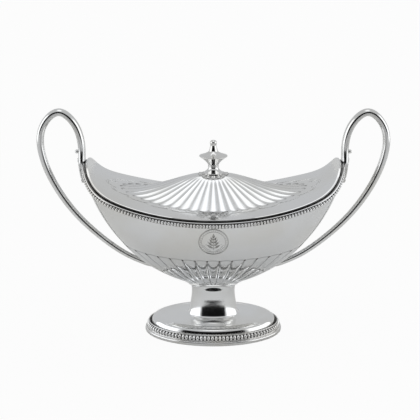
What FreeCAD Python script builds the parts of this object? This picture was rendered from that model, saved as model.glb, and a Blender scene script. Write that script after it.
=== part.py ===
"""Covered oval sugar bowl in silver: boat-shaped bowl on an oval pedestal, two loop handles, lift-off cover.

Millimetres. X runs through the two handles, -Y is the front, Z is up.
The origin is the middle of the foot's underside.
"""
import FreeCAD
import Part
import math
import os

# ---- bowl -------------------------------------------------------------------------------------
RIM_HALF_LENGTH = 87.9      # outside of the bowl's wall at the ends of the rim
RIM_HALF_WIDTH = 47.8       # outside of the bowl's wall at the middle of the rim
RIM_MID_HEIGHT = 90.4       # height of the rim at the middle of each side
RIM_END_HEIGHT = 120.1      # height of the rim at the handles
BOWL_FLOOR_HEIGHT = 34.5    # underside of the bowl, where it stands on the pedestal
BOWL_FLOOR_HALF = (8.0, 5.9)
BOWL_WALL = 1.0
RIM_SQUARENESS = 1.15       # how far the oval goes from an ellipse (0) towards a box, at the rim
PROW_SHARE = 0.38           # share of the rim's rise that comes in the last stretch before the handle
PROW_POWER = 16

# ---- trim round the rim -----------------------------------------------------------------------
LIP_HEIGHT = 0.7            # flat wire soldered on top of the wall
LIP_OUTSIDE = 0.5
LIP_INSIDE = 2.4
BEAD_BAND_HEIGHT = 2.8
BEAD_BAND_DEPTH = 1.7
BEAD_BAND_DROP = 0.1        # gap between the lip and the beads
BEAD_BAND_TO_LEAF = 0.2     # gap between the ends of the beads and a handle's leaf

# ---- handles ----------------------------------------------------------------------------------
HANDLE_WIDTH = 7.2
HANDLE_THICKNESS = 5.0
HANDLE_ABOVE_RIM = 38.1     # top of the loop, above the end of the rim
HANDLE_OUT_FROM_RIM = 32.1  # outside of the loop, beyond the end of the rim
HANDLE_LANDS_AT = 0.33      # where it comes back to the bowl, as a share of the wall's end curve
HANDLE_TIP_WIDTH = 4.4
HANDLE_TIP_THICKNESS = 3.6
HANDLE_TO_COVER = 0.6       # room between the handle and the cover's end as the cover is lifted
LEAF_WIDTH = 10.0
LEAF_LENGTH = 17.0
LEAF_TIP_ABOVE_RIM = 3.2
LEAF_THICKNESS = 1.0
PELLET_RADIUS = 1.4
PELLET_ABOVE_RIM = 8.1

# ---- pedestal and foot ------------------------------------------------------------------------
FOOT_HALF_LENGTH = 47.9
FOOT_HALF_WIDTH = 35.0
PLINTH_HEIGHT = 2.8
PLINTH_WIDTH = 4.6
PLINTH_EASING = 1.0         # slope on the plinth's upper edge
FOOT_BEAD_HEIGHT = 4.6
FOOT_BEAD_DEPTH = 2.5
FOOT_BEAD_CLEARANCE = 0.3   # under the quarter-round step
SKIRT_INSET = 3.6           # foot of the skirt, in from the plinth's edge
ROUND_INSET = 4.6           # foot of the quarter-round step above the skirt
CREST_INSET = 11.9          # where the trumpet's curve meets the step
NECK_HALF = (15.0, 10.5)
FOOT_CREST_HEIGHT = 11.3
PEDESTAL_WALL = 1.3

# ---- cover ------------------------------------------------------------------------------------
COVER_INSET = 1.5           # cover's edge, in from the outside of the bowl's wall
COVER_GAP = 0.3             # between the lip's top and the cover's edge
COVER_SHEET = 0.9
COVER_EDGE_HEIGHT = 1.2     # wire round the cover's edge
COVER_CROWN = 2.8           # rise of the plain sheet from the edge to the middle
DOME_HALF_LENGTH = 61.0
DOME_HALF_WIDTH = 30.5
DOME_RISE = 17.0
DOME_FLAT = 0.2             # share of the dome that is flat, for the finial to stand on
BEZEL_CLEARANCE = 0.4       # between the cover's inner flange and the lip
BEZEL_THICKNESS = 0.8
BEZEL_DEPTH = 4.5
SOLDER_GAP = 0.05           # between the flange's top and the sheet above it

# ---- finial -----------------------------------------------------------------------------------
CALYX_HALF = (10.6, 8.9)    # leaf-edged plate under the finial
CALYX_THICKNESS = 0.7
FINIAL_HEIGHT = 23.1
FINIAL_DISC_RADIUS = 9.6
FINIAL_DISC_HEIGHT = 12.1   # of the sharp edge, above the finial's underside
FINIAL_EDGE = 0.2           # each half's share of the edge's thickness
FINIAL_FOOT_RADIUS = 6.7
FINIAL_NECK_RADIUS = 3.3
STUD_RADIUS = 1.5
STUD_HOLE_CLEARANCE = 0.2
STUD_IN_FINIAL = 8.0
WASHER_RADIUS = 4.6
WASHER_THICKNESS = 0.8
WASHER_SEAT = 0.15          # between the washer and the cover's slightly domed underside
NUT_ACROSS_FLATS = 6.5
NUT_HEIGHT = 2.6
STUD_PAST_NUT = 1.6

RING_POINTS = 48            # points round each oval curve
STEM_RINGS = 40             # level lines down the pedestal's trumpet


# ---- curves and skins -------------------------------------------------------------------------
def oval_point(half_length, half_width, squareness, turn):
    """A point of an oval, and its distance along the length as a share of the half length."""
    power = 2.0 + squareness
    along, across = math.cos(turn), math.sin(turn)
    reach = (abs(along) ** power + abs(across) ** power) ** (-1.0 / power)
    return half_length * reach * along, half_width * reach * across, reach * along


def turns():
    return [2.0 * math.pi * i / RING_POINTS for i in range(RING_POINTS)]


def flat_oval(half_length, half_width, height, squareness=0.0):
    ring = []
    for turn in turns():
        x, y, share = oval_point(half_length, half_width, squareness, turn)
        ring.append(FreeCAD.Vector(x, y, height))
    return ring


def closed_curve(ring):
    curve = Part.BSplineCurve()
    knots = [float(i) for i in range(len(ring) + 1)]
    curve.interpolate(Points=ring, PeriodicFlag=True, Parameters=knots)
    return Part.Wire(curve.toShape())


def skin(rings, ruled=False):
    """Faces drawn through the rings; two rings in one flat plane get a flat face between them."""
    curves = [closed_curve(ring) for ring in rings]
    heights = [point.z for ring in rings for point in ring]
    if max(heights) - min(heights) < 1e-6:
        return Part.makeFace(curves, "Part::FaceMakerBullseye").Faces
    return Part.makeLoft(curves, False, ruled).Faces


def flat_cap(ring):
    return [Part.Face(closed_curve(ring))]


def solid_of(faces):
    shell = Part.makeCompound(faces)
    shell.sewShape(0.001)
    solid = Part.makeSolid(shell.Shells[0])
    if solid.Volume < 0:
        solid.reverse()
    return solid


def band(rings):
    """A closed loop of metal: straight skins from each ring to the next and back to the first."""
    faces = []
    for i in range(len(rings)):
        faces += skin([rings[i], rings[(i + 1) % len(rings)]], ruled=True)
    return solid_of(faces)


def bezier(points, t):
    """Point and direction of a cubic curve in (reach, height)."""
    a, b, c, d = points
    k = 1.0 - t
    at = [k ** 3 * a[i] + 3 * k * k * t * b[i] + 3 * k * t * t * c[i] + t ** 3 * d[i] for i in (0, 1)]
    run = [3 * (k * k * (b[i] - a[i]) + 2 * k * t * (c[i] - b[i]) + t * t * (d[i] - c[i])) for i in (0, 1)]
    return at, run


def bezier_beside(points, t, out):
    """The same curve, moved out by a distance square to its direction."""
    at, run = bezier(points, t)
    length = math.hypot(run[0], run[1])
    return at[0] + out * run[1] / length, at[1] - out * run[0] / length


# ---- the bowl's wall --------------------------------------------------------------------------
def end_curve():
    """Wall of the bowl along the middle line, from the floor out to a handle."""
    rise = RIM_END_HEIGHT - BOWL_FLOOR_HEIGHT
    return ((BOWL_FLOOR_HALF[0], BOWL_FLOOR_HEIGHT),
            (0.455 * RIM_HALF_LENGTH, BOWL_FLOOR_HEIGHT + 0.048 * rise),
            (0.875 * RIM_HALF_LENGTH, BOWL_FLOOR_HEIGHT + 0.402 * rise),
            (RIM_HALF_LENGTH, RIM_END_HEIGHT))


def side_curve():
    """Wall of the bowl across the middle, from the floor up to the front of the rim."""
    rise = RIM_MID_HEIGHT - BOWL_FLOOR_HEIGHT
    return ((BOWL_FLOOR_HALF[1], BOWL_FLOOR_HEIGHT),
            (0.375 * RIM_HALF_WIDTH, BOWL_FLOOR_HEIGHT + 0.015 * rise),
            (0.93 * RIM_HALF_WIDTH, BOWL_FLOOR_HEIGHT + 0.59 * rise),
            (RIM_HALF_WIDTH, RIM_MID_HEIGHT))


def sheer(share, t):
    """How far up from the middle's height to the end's height the wall's level line has climbed."""
    prow = PROW_SHARE * t * t
    return (1.0 - prow) * share ** 2 + prow * abs(share) ** PROW_POWER


def wall_ring(end_t, side_t, out=0.0, up=0.0):
    """A level line of the bowl's wall, moved out from it and up."""
    half_length, end_height = bezier_beside(end_curve(), end_t, out)
    half_width, mid_height = bezier_beside(side_curve(), side_t, out)
    t = 0.5 * (end_t + side_t)
    ring = []
    for turn in turns():
        x, y, share = oval_point(half_length, half_width, RIM_SQUARENESS * t, turn)
        z = mid_height + (end_height - mid_height) * sheer(share, t) + up
        ring.append(FreeCAD.Vector(x, y, z))
    return ring


def below_rim(down, out=0.0):
    """The level line a distance down the wall from the rim."""
    ts = []
    for points in (end_curve(), side_curve()):
        at, run = bezier(points, 1.0)
        ts.append(1.0 - down / math.hypot(run[0], run[1]))
    return wall_ring(ts[0], ts[1], out)


def above_rim(up, inset):
    """The rim's own outline, drawn in by an inset and lifted straight up."""
    ring = []
    for turn in turns():
        x, y, share = oval_point(RIM_HALF_LENGTH - inset, RIM_HALF_WIDTH - inset, RIM_SQUARENESS, turn)
        z = RIM_MID_HEIGHT + (RIM_END_HEIGHT - RIM_MID_HEIGHT) * sheer(share, 1.0) + up
        ring.append(FreeCAD.Vector(x, y, z))
    return ring


def steps(count):
    return [i / float(count) for i in range(count + 1)]


def bowl_outside():
    """The space inside the bowl's outer face, carried straight up past the handles' tops."""
    top = flat_oval(RIM_HALF_LENGTH, RIM_HALF_WIDTH, RIM_END_HEIGHT + HANDLE_ABOVE_RIM, RIM_SQUARENESS)
    faces = skin([wall_ring(t, t) for t in steps(10)]) + skin([above_rim(0.0, 0.0), top], ruled=True)
    faces += flat_cap(wall_ring(0.0, 0.0)) + flat_cap(top)
    return solid_of(faces)


def bowl_shell():
    """Raised from one sheet: a flat floor, and a wall that sweeps up at both ends."""
    outer = [wall_ring(t, t) for t in steps(10)]
    floor = flat_oval(BOWL_FLOOR_HALF[0], BOWL_FLOOR_HALF[1], BOWL_FLOOR_HEIGHT + BOWL_WALL)
    inner = [floor] + [wall_ring(t, t, -BOWL_WALL) for t in steps(10)[1:-1]]
    inner.append(above_rim(0.0, BOWL_WALL))
    faces = skin(outer) + skin(inner) + skin([outer[-1], inner[-1]], ruled=True)
    faces += flat_cap(outer[0]) + flat_cap(floor)
    return solid_of(faces)


def rim_lip_wire():
    """Flat wire soldered along the top of the wall; it makes the seat for the cover."""
    return band([above_rim(0.0, -LIP_OUTSIDE), above_rim(LIP_HEIGHT, -LIP_OUTSIDE),
                 above_rim(LIP_HEIGHT, LIP_INSIDE), above_rim(0.0, LIP_INSIDE)])


def rim_bead_border():
    """Beaded wire round the outside of the wall, in two lengths that stop at the handles' leaves."""
    top, bottom, back = BEAD_BAND_DROP, BEAD_BAND_DROP + BEAD_BAND_HEIGHT, -0.5 * BOWL_WALL
    ring = band([below_rim(top, back), below_rim(top, BEAD_BAND_DEPTH),
                 below_rim(bottom, BEAD_BAND_DEPTH), below_rim(bottom, back)])
    gap = LEAF_WIDTH + 2.0 * BEAD_BAND_TO_LEAF
    room = Part.makeBox(4.0 * RIM_HALF_LENGTH, gap, RIM_END_HEIGHT,
                        FreeCAD.Vector(-2.0 * RIM_HALF_LENGTH, -0.5 * gap, BOWL_FLOOR_HEIGHT))
    return ring.cut(room).cut(bowl_outside())


# ---- handles ----------------------------------------------------------------------------------
def handle_inner_face():
    return RIM_HALF_LENGTH - COVER_INSET + HANDLE_TO_COVER


def handle_path():
    """Middle line of a handle in the plane of the two handles, from the rim round to the underside."""
    foot = handle_inner_face() + 0.5 * HANDLE_THICKNESS
    rim = RIM_END_HEIGHT
    top = rim + HANDLE_ABOVE_RIM - 0.5 * HANDLE_THICKNESS
    out = RIM_HALF_LENGTH + HANDLE_OUT_FROM_RIM - 0.5 * HANDLE_THICKNESS
    riser = [(foot - 1.2, rim - 9.5), (foot - 0.2, rim - 3.0), (foot, rim + 3.5), (foot - 0.1, rim + 9.5),
             (foot + 0.5, rim + 16.0), (foot + 2.6, rim + 23.5), (foot + 7.0, rim + 30.5)]
    loop = [(out - 13.6, top), (out - 3.5, top - 7.2), (out, top - 18.5), (out - 1.5, top - 31.5)]
    beside = ((0.88, 0.71), (0.696, 0.55), (0.472, 0.354), (0.23, 0.178), (0.113, 0.087), (0.0, 0.014))
    lower = [bezier_beside(end_curve(), HANDLE_LANDS_AT + up * (1.0 - HANDLE_LANDS_AT), away * HANDLE_OUT_FROM_RIM)
             for up, away in beside]
    return riser + loop + lower


def handle_section(place, along, width, thickness):
    """Oval wire square to the handle's direction."""
    across = FreeCAD.Vector(0, 1, 0)
    out = along.cross(across)
    points = []
    for i in range(16):
        turn = 2.0 * math.pi * i / 16
        x, y, share = oval_point(0.5 * width, 0.5 * thickness, 0.5, turn)
        points.append(place + across * x + out * y)
    return closed_curve(points)


def handle_right():
    """Drawn wire bent to a loop: soldered outside the rim, it comes back to the bowl's underside."""
    spine = Part.BSplineCurve()
    spine.interpolate([FreeCAD.Vector(x, 0, z) for x, z in handle_path()])
    sections = []
    count = 30
    for i in range(count + 1):
        share = i / float(count)
        at = spine.FirstParameter + share * (spine.LastParameter - spine.FirstParameter)
        along = spine.tangent(at)[0]
        slim = max(0.0, share - 0.35) / 0.65
        width = HANDLE_WIDTH + (HANDLE_TIP_WIDTH - HANDLE_WIDTH) * slim
        thickness = HANDLE_THICKNESS + (HANDLE_TIP_THICKNESS - HANDLE_THICKNESS) * slim
        sections.append(handle_section(spine.value(at), along, width, thickness))
    return Part.makeLoft(sections, True)


def riser_outer_face():
    return handle_inner_face() + HANDLE_THICKNESS


def leaf_right():
    """Chased leaf laid over the foot of the handle, outside the rim, with a rounded tip above it."""
    top = RIM_END_HEIGHT + LEAF_TIP_ABOVE_RIM
    inner = []
    for i in range(9):
        height = top - LEAF_LENGTH * i / 8.0
        at = min(1.0, 1.0 - (RIM_END_HEIGHT - height) / (3.0 * (RIM_END_HEIGHT - end_curve()[2][1])))
        reach, level = bezier(end_curve(), at)[0]
        inner.append((max(reach + BEAD_BAND_DEPTH * 0.3, riser_outer_face() - 0.2 - 0.16 * (top - height)), height))
    outline = [FreeCAD.Vector(x, 0, z) for x, z in inner]
    back = Part.BSplineCurve()
    back.interpolate(outline)
    front = Part.BSplineCurve()
    front.interpolate([point + FreeCAD.Vector(LEAF_THICKNESS, 0, 0) for point in outline])
    ends = [Part.makeLine(back.StartPoint, front.StartPoint), Part.makeLine(front.EndPoint, back.EndPoint)]
    side = Part.Face(Part.Wire(Part.__sortEdges__([back.toShape(), front.toShape()] + ends)))
    slab = side.extrude(FreeCAD.Vector(0, LEAF_WIDTH, 0))
    slab.translate(FreeCAD.Vector(0, -0.5 * LEAF_WIDTH, 0))
    middle = top - 0.5 * LEAF_LENGTH
    outline = Part.Ellipse(FreeCAD.Vector(0, 0, middle), 0.5 * LEAF_LENGTH, 0.5 * LEAF_WIDTH)
    outline.Axis = FreeCAD.Vector(1, 0, 0)
    face = Part.Face(Part.Wire(outline.toShape()))
    if face.BoundBox.ZLength < face.BoundBox.YLength:
        face.rotate(FreeCAD.Vector(0, 0, middle), FreeCAD.Vector(1, 0, 0), 90)
    return slab.common(face.extrude(FreeCAD.Vector(RIM_HALF_LENGTH * 2.0, 0, 0)))


def pellet_right():
    """Small ball soldered to the outside of the handle, above the leaf."""
    centre = FreeCAD.Vector(riser_outer_face() + 0.3 * PELLET_RADIUS, 0, RIM_END_HEIGHT + PELLET_ABOVE_RIM)
    return Part.makeSphere(PELLET_RADIUS, centre)


def left_of(shape):
    return shape.mirror(FreeCAD.Vector(0, 0, 0), FreeCAD.Vector(1, 0, 0))


# ---- pedestal and foot ------------------------------------------------------------------------
def foot_oval(in_from_edge, height):
    """An oval that keeps the same distance in from the foot's edge all the way round."""
    return flat_oval(FOOT_HALF_LENGTH - in_from_edge, FOOT_HALF_WIDTH - in_from_edge, height)


def skirt_top():
    """Foot of the quarter-round step; the beaded wire stands just under it."""
    return PLINTH_HEIGHT + FOOT_BEAD_HEIGHT + FOOT_BEAD_CLEARANCE


def stem_profile():
    """Points spaced evenly down the trumpet: (half length, half width, height), from bowl to crest.

    Under the bowl the ends flare into its keel while the sides stay upright; a shallow swelling follows,
    then a long straight stem that turns out onto the nearly flat dish of the foot.
    """
    drop = BOWL_FLOOR_HEIGHT - FOOT_CREST_HEIGHT
    shape = [(8.0, 1.1, 1.134), (5.6, 0.62, 1.073), (3.3, 0.12, 1.022), (1.1, 0.1, 0.966), (0.35, 0.28, 0.914),
             (0.08, 0.46, 0.858), (0.0, 0.5, 0.806), (0.0, 0.52, 0.72), (0.1, 0.6, 0.634), (0.4, 0.88, 0.526),
             (1.0, 1.42, 0.353), (1.5, 1.9, 0.246), (2.35, 2.55, 0.142), (3.3, 3.3, 0.073), (5.0, 4.7, 0.03),
             (9.0, 7.4, 0.009)]
    curve = Part.BSplineCurve()
    points = [FreeCAD.Vector(NECK_HALF[0] + along, NECK_HALF[1] + across, FOOT_CREST_HEIGHT + share * drop)
              for along, across, share in shape]
    points.append(FreeCAD.Vector(FOOT_HALF_LENGTH - CREST_INSET, FOOT_HALF_WIDTH - CREST_INSET, FOOT_CREST_HEIGHT))
    curve.interpolate(points)
    return [(point.x, point.y, point.z) for point in curve.discretize(Number=STEM_RINGS)]


def stem_rings(wall):
    """Level lines of the trumpet from the bowl down to the crest, drawn in by the wall."""
    points = stem_profile()
    rings = []
    for i, (half_length, half_width, height) in enumerate(points):
        before, after = points[max(0, i - 1)], points[min(len(points) - 1, i + 1)]
        out, down = after[1] - before[1], after[2] - before[2]
        shift = wall * down / math.hypot(out, down)
        rings.append(flat_oval(half_length + shift, half_width + shift, height - wall * out / math.hypot(out, down)))
    return rings


def step_rings():
    """Level lines of the quarter-round step, from the crest out and down to the skirt."""
    width, height = CREST_INSET - ROUND_INSET, FOOT_CREST_HEIGHT - skirt_top()
    profile = ((0.0, 0.0), (0.23, -0.07), (0.62, 0.13), (0.9, 0.5), (1.0, 1.0))
    return [foot_oval(CREST_INSET - out * width, FOOT_CREST_HEIGHT - down * height) for out, down in profile]


def pedestal():
    """Raised from sheet: trumpet stem, crest, quarter-round step and a skirt that lands on the plinth."""
    stem, inner_stem, step = stem_rings(0.0), stem_rings(PEDESTAL_WALL), step_rings()
    skirt = foot_oval(SKIRT_INSET, PLINTH_HEIGHT)
    under_step = [foot_oval(SKIRT_INSET + PEDESTAL_WALL, PLINTH_HEIGHT),
                  foot_oval(ROUND_INSET + PEDESTAL_WALL, skirt_top() - 0.3 * PEDESTAL_WALL),
                  foot_oval(0.5 * (ROUND_INSET + CREST_INSET) + PEDESTAL_WALL, FOOT_CREST_HEIGHT - PEDESTAL_WALL),
                  inner_stem[-1]]
    faces = skin(stem) + skin(step) + skin([step[-1], skirt], ruled=True)
    faces += skin([skirt, under_step[0]], ruled=True) + skin(under_step) + skin(inner_stem)
    faces += skin([stem[0], inner_stem[0]], ruled=True)
    return solid_of(faces).cut(bowl_outside())


def foot_plinth_wire():
    """Flat oval wire under the skirt; its lower face is what the bowl stands on."""
    return band([foot_oval(0.0, 0.0), foot_oval(0.0, PLINTH_HEIGHT - PLINTH_EASING),
                 foot_oval(PLINTH_EASING, PLINTH_HEIGHT), foot_oval(PLINTH_WIDTH, PLINTH_HEIGHT),
                 foot_oval(PLINTH_WIDTH, 0.0)])


def foot_bead_border():
    """Beaded wire that stands on the plinth, against the skirt, which leans in a little."""
    lean = (ROUND_INSET - SKIRT_INSET) * FOOT_BEAD_HEIGHT / (FOOT_BEAD_HEIGHT + FOOT_BEAD_CLEARANCE)
    low, high = SKIRT_INSET, SKIRT_INSET + lean
    top = PLINTH_HEIGHT + FOOT_BEAD_HEIGHT
    return band([foot_oval(low, PLINTH_HEIGHT), foot_oval(low - FOOT_BEAD_DEPTH, PLINTH_HEIGHT),
                 foot_oval(high - FOOT_BEAD_DEPTH, top), foot_oval(high, top)])


# ---- cover ------------------------------------------------------------------------------------
def cover_seat():
    return LIP_HEIGHT + COVER_GAP


def sheet_inset():
    """Where the cover's sheet ends and its edge wire begins, in from the outside of the bowl's wall."""
    return LIP_INSIDE + BEZEL_CLEARANCE


def cover_top(x, y):
    """Height of the cover's upper face: it follows the rim's sweep, with an oval dome in the middle."""
    power = 2.0 + RIM_SQUARENESS
    half_length, half_width = RIM_HALF_LENGTH - sheet_inset(), RIM_HALF_WIDTH - sheet_inset()
    out = ((abs(x) / half_length) ** power + (abs(y) / half_width) ** power) ** (1.0 / power)
    rise = (RIM_END_HEIGHT - RIM_MID_HEIGHT) * sheer(x / half_length, 1.0)
    plain = RIM_MID_HEIGHT + cover_seat() + COVER_EDGE_HEIGHT + rise + COVER_CROWN * (1.0 - out * out)
    from_middle = math.hypot(x / DOME_HALF_LENGTH, y / DOME_HALF_WIDTH)
    slope = min(1.0, max(0.0, (from_middle - DOME_FLAT) / (1.0 - DOME_FLAT)))
    return plain + DOME_RISE * (1.0 - slope ** 1.3) ** 1.5


def cover_ring(share, lower):
    """Level line of the cover: a share of the way from the stud's hole to the edge wire."""
    hole = STUD_RADIUS + STUD_HOLE_CLEARANCE
    ring = []
    for turn in turns():
        x, y, reach = oval_point(RIM_HALF_LENGTH - sheet_inset(), RIM_HALF_WIDTH - sheet_inset(),
                                 RIM_SQUARENESS, turn)
        x = share * x + (1.0 - share) * hole * math.cos(turn)
        y = share * y + (1.0 - share) * hole * math.sin(turn)
        ring.append(FreeCAD.Vector(x, y, cover_top(x, y) - lower))
    return ring


def under_cover(inset):
    """The line just under the sheet that lies an inset in from the outside of the bowl's wall."""
    ring = []
    for turn in turns():
        x, y, reach = oval_point(RIM_HALF_LENGTH - inset, RIM_HALF_WIDTH - inset, RIM_SQUARENESS, turn)
        ring.append(FreeCAD.Vector(x, y, cover_top(x, y) - COVER_SHEET - SOLDER_GAP))
    return ring


def cover_shell():
    """Raised from one sheet, with a hole in the middle for the finial's stud."""
    upper = [cover_ring(1.0 - share, 0.0) for share in steps(28)]
    under = [cover_ring(1.0 - share, COVER_SHEET) for share in steps(28)]
    faces = skin(upper) + skin(under) + skin([upper[0], under[0]], ruled=True)
    faces += skin([upper[-1], under[-1]], ruled=True)
    return solid_of(faces)


def cover_edge_wire():
    """Wire soldered round the cover's edge; it rests on the bowl's lip."""
    low, high = cover_seat(), cover_seat() + COVER_EDGE_HEIGHT
    return band([above_rim(low, COVER_INSET), above_rim(high, COVER_INSET),
                 cover_ring(1.0, 0.0), above_rim(low, sheet_inset())])


def cover_bezel():
    """Flange inside the cover that drops inside the lip and keeps the cover from sliding."""
    outer, inner = sheet_inset(), sheet_inset() + BEZEL_THICKNESS
    bottom = LIP_HEIGHT - BEZEL_DEPTH
    return band([above_rim(bottom, outer), under_cover(outer), under_cover(inner), above_rim(bottom, inner)])


# ---- finial -----------------------------------------------------------------------------------
def cover_summit():
    return cover_top(0.0, 0.0)


def finial_foot():
    return cover_summit() + CALYX_THICKNESS


def finial_calyx():
    """Leaf-edged plate on the dome, before the dome and the finial's seat are cut out of it."""
    hole = STUD_RADIUS + STUD_HOLE_CLEARANCE
    upper, under = [], []
    for inward in steps(6):
        share = 1.0 - inward
        high, low = [], []
        for turn in turns():
            x = (share * CALYX_HALF[0] + inward * hole) * math.cos(turn)
            y = (share * CALYX_HALF[1] + inward * hole) * math.sin(turn)
            low.append(FreeCAD.Vector(x, y, cover_top(x, y) - 0.5 * COVER_SHEET))
            high.append(FreeCAD.Vector(x, y, cover_top(x, y) + CALYX_THICKNESS * (1.2 - 0.6 * share ** 4)))
        upper.append(high)
        under.append(low)
    faces = skin(upper) + skin(under) + skin([upper[0], under[0]], ruled=True)
    faces += skin([upper[-1], under[-1]], ruled=True)
    return solid_of(faces)


def turned(outline, height):
    """Turned piece: an outline of (radius, height) points spun round the finial's axis."""
    points = [FreeCAD.Vector(radius, 0, height + z) for radius, z in outline]
    face = Part.Face(Part.makePolygon(points + [points[0]]))
    return face.revolve(FreeCAD.Vector(0, 0, 0), FreeCAD.Vector(0, 0, 1), 360)


def finial_urn():
    """Lower half of the finial: a flared foot, a neck and a cup, with a socket for the stud."""
    foot, neck, disc = FINIAL_FOOT_RADIUS, FINIAL_NECK_RADIUS, FINIAL_DISC_RADIUS
    edge = FINIAL_DISC_HEIGHT
    outline = [(0.0, STUD_IN_FINIAL), (STUD_RADIUS, STUD_IN_FINIAL), (STUD_RADIUS, 0.0), (foot, 0.0), (foot, 0.7)]
    outline += [(neck + (foot - neck) * (1 - k) ** 2.2, 0.7 + 4.4 * k) for k in (0.2, 0.4, 0.6, 0.8, 1.0)]
    outline += [(neck + (disc - neck) * k ** 1.6, 5.1 + (edge - FINIAL_EDGE - 5.1) * k) for k in (0.2, 0.4, 0.6, 0.8, 1.0)]
    outline += [(disc, edge), (0.0, edge)]
    return turned(outline, finial_foot())


def finial_cap():
    """Upper half of the finial: the cup's lid, drawn up to a spire with a small bulb on top."""
    disc = FINIAL_DISC_RADIUS
    edge, top = FINIAL_DISC_HEIGHT, FINIAL_HEIGHT
    outline = [(0.0, edge), (disc, edge), (disc, edge + FINIAL_EDGE)]
    outline += [(2.9 + (disc - 2.9) * (1 - k) ** 1.8, edge + FINIAL_EDGE + 3.7 * k) for k in (0.25, 0.5, 0.75, 1.0)]
    outline += [(2.35, top - 5.0), (2.1, top - 3.5), (2.35, top - 2.0), (2.1, top - 0.9), (1.2, top - 0.2)]
    outline += [(0.0, top)]
    return turned(outline, finial_foot())


def washer_underside():
    return cover_summit() - COVER_SHEET - WASHER_SEAT - WASHER_THICKNESS


def finial_stud():
    """Threaded rod from the finial's socket down through the cover and the nut."""
    low = washer_underside() - NUT_HEIGHT - STUD_PAST_NUT
    return Part.makeCylinder(STUD_RADIUS, finial_foot() + STUD_IN_FINIAL - low, FreeCAD.Vector(0, 0, low))


def finial_washer():
    low = FreeCAD.Vector(0, 0, washer_underside())
    disc = Part.makeCylinder(WASHER_RADIUS, WASHER_THICKNESS, low)
    return disc.cut(Part.makeCylinder(STUD_RADIUS + STUD_HOLE_CLEARANCE, WASHER_THICKNESS, low))


def finial_nut():
    low, half = washer_underside() - NUT_HEIGHT, 0.5 * NUT_ACROSS_FLATS
    block = Part.makeBox(NUT_ACROSS_FLATS, NUT_ACROSS_FLATS, NUT_HEIGHT, FreeCAD.Vector(-half, -half, low))
    return block.cut(Part.makeCylinder(STUD_RADIUS, NUT_HEIGHT, FreeCAD.Vector(0, 0, low)))


# ---- assembly ---------------------------------------------------------------------------------
def save(name, shape):
    if not shape.isValid() or shape.Volume <= 0:
        raise ValueError(name + " is not a sound solid")
    shape.exportStep("parts/" + name + ".step")
    box = shape.BoundBox
    print("%-20s %9.1f mm3  solids %d  z %.1f to %.1f" % (name, shape.Volume, len(shape.Solids), box.ZMin, box.ZMax))


def main():
    os.makedirs("parts", exist_ok=True)
    filled = bowl_outside()
    lip = rim_lip_wire()
    beads = rim_bead_border()
    handle = handle_right().cut(filled).cut(lip).cut(beads)
    handle = max(handle.Solids, key=lambda solid: solid.Volume)
    leaf = leaf_right().cut(handle).cut(lip).cut(filled)
    pellet = pellet_right().cut(handle)
    cover = cover_shell()
    urn = finial_urn()
    save("bowl_shell", bowl_shell())
    save("rim_lip_wire", lip)
    save("rim_bead_border", beads)
    for name, shape in (("handle", handle), ("handle_leaf", leaf), ("handle_pellet", pellet)):
        save(name + "_right", shape)
        save(name + "_left", left_of(shape))
    save("pedestal", pedestal())
    save("foot_plinth_wire", foot_plinth_wire())
    save("foot_bead_border", foot_bead_border())
    save("cover_shell", cover)
    save("cover_edge_wire", cover_edge_wire())
    save("cover_bezel", cover_bezel())
    save("finial_calyx", finial_calyx().cut(cover).cut(urn))
    save("finial_urn", urn)
    save("finial_cap", finial_cap())
    save("finial_stud", finial_stud())
    save("finial_washer", finial_washer())
    save("finial_nut", finial_nut())


main()
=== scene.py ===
import math
import random
import bmesh
import bpy
import numpy as np
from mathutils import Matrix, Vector


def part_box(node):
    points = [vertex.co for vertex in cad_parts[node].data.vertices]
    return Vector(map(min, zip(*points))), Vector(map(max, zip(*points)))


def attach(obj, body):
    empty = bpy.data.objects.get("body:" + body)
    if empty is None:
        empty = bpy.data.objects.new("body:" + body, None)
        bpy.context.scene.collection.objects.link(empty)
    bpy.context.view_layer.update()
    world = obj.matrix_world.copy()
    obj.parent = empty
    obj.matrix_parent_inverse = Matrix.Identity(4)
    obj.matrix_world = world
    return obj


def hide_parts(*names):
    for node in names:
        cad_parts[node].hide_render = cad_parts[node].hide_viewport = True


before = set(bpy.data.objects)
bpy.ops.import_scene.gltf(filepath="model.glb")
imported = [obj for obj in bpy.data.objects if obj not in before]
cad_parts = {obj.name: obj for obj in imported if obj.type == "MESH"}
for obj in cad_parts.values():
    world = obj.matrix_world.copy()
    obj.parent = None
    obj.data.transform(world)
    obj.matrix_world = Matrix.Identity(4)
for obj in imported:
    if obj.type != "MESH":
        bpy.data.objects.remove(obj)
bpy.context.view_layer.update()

# ---- Pedestal ---------------------------------------------------------------------------------
# An oval trumpet raised from one sheet of silver and polished by hand. It is soldered to the bowl's
# underside, and its skirt stands on the plinth wire. A thin fillet of solder shows at the top.
NECK_HALF_LENGTH = 0.0150
NECK_HALF_WIDTH = 0.0105
CREST_HEIGHT = 0.0113
CREST_INSET = 0.0119
STEP_INSET = 0.0046
SKIRT_INSET = 0.0036
PEDESTAL_WALL = 0.0013
SEAM_RADIUS = 0.0004
SEAM_SIDE_HEIGHT = 0.0366
SEAM_END_HEIGHT = 0.0343
PEDESTAL_COLUMNS = 192

plinth_low, plinth_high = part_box("foot_plinth_wire")
foot_half_length, foot_half_width, plinth_height = plinth_high
skirt_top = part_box("foot_bead_border")[1][2] + 0.0003
bowl_low, bowl_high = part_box("bowl_shell")
bowl_floor_height = bowl_low[2]


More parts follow.
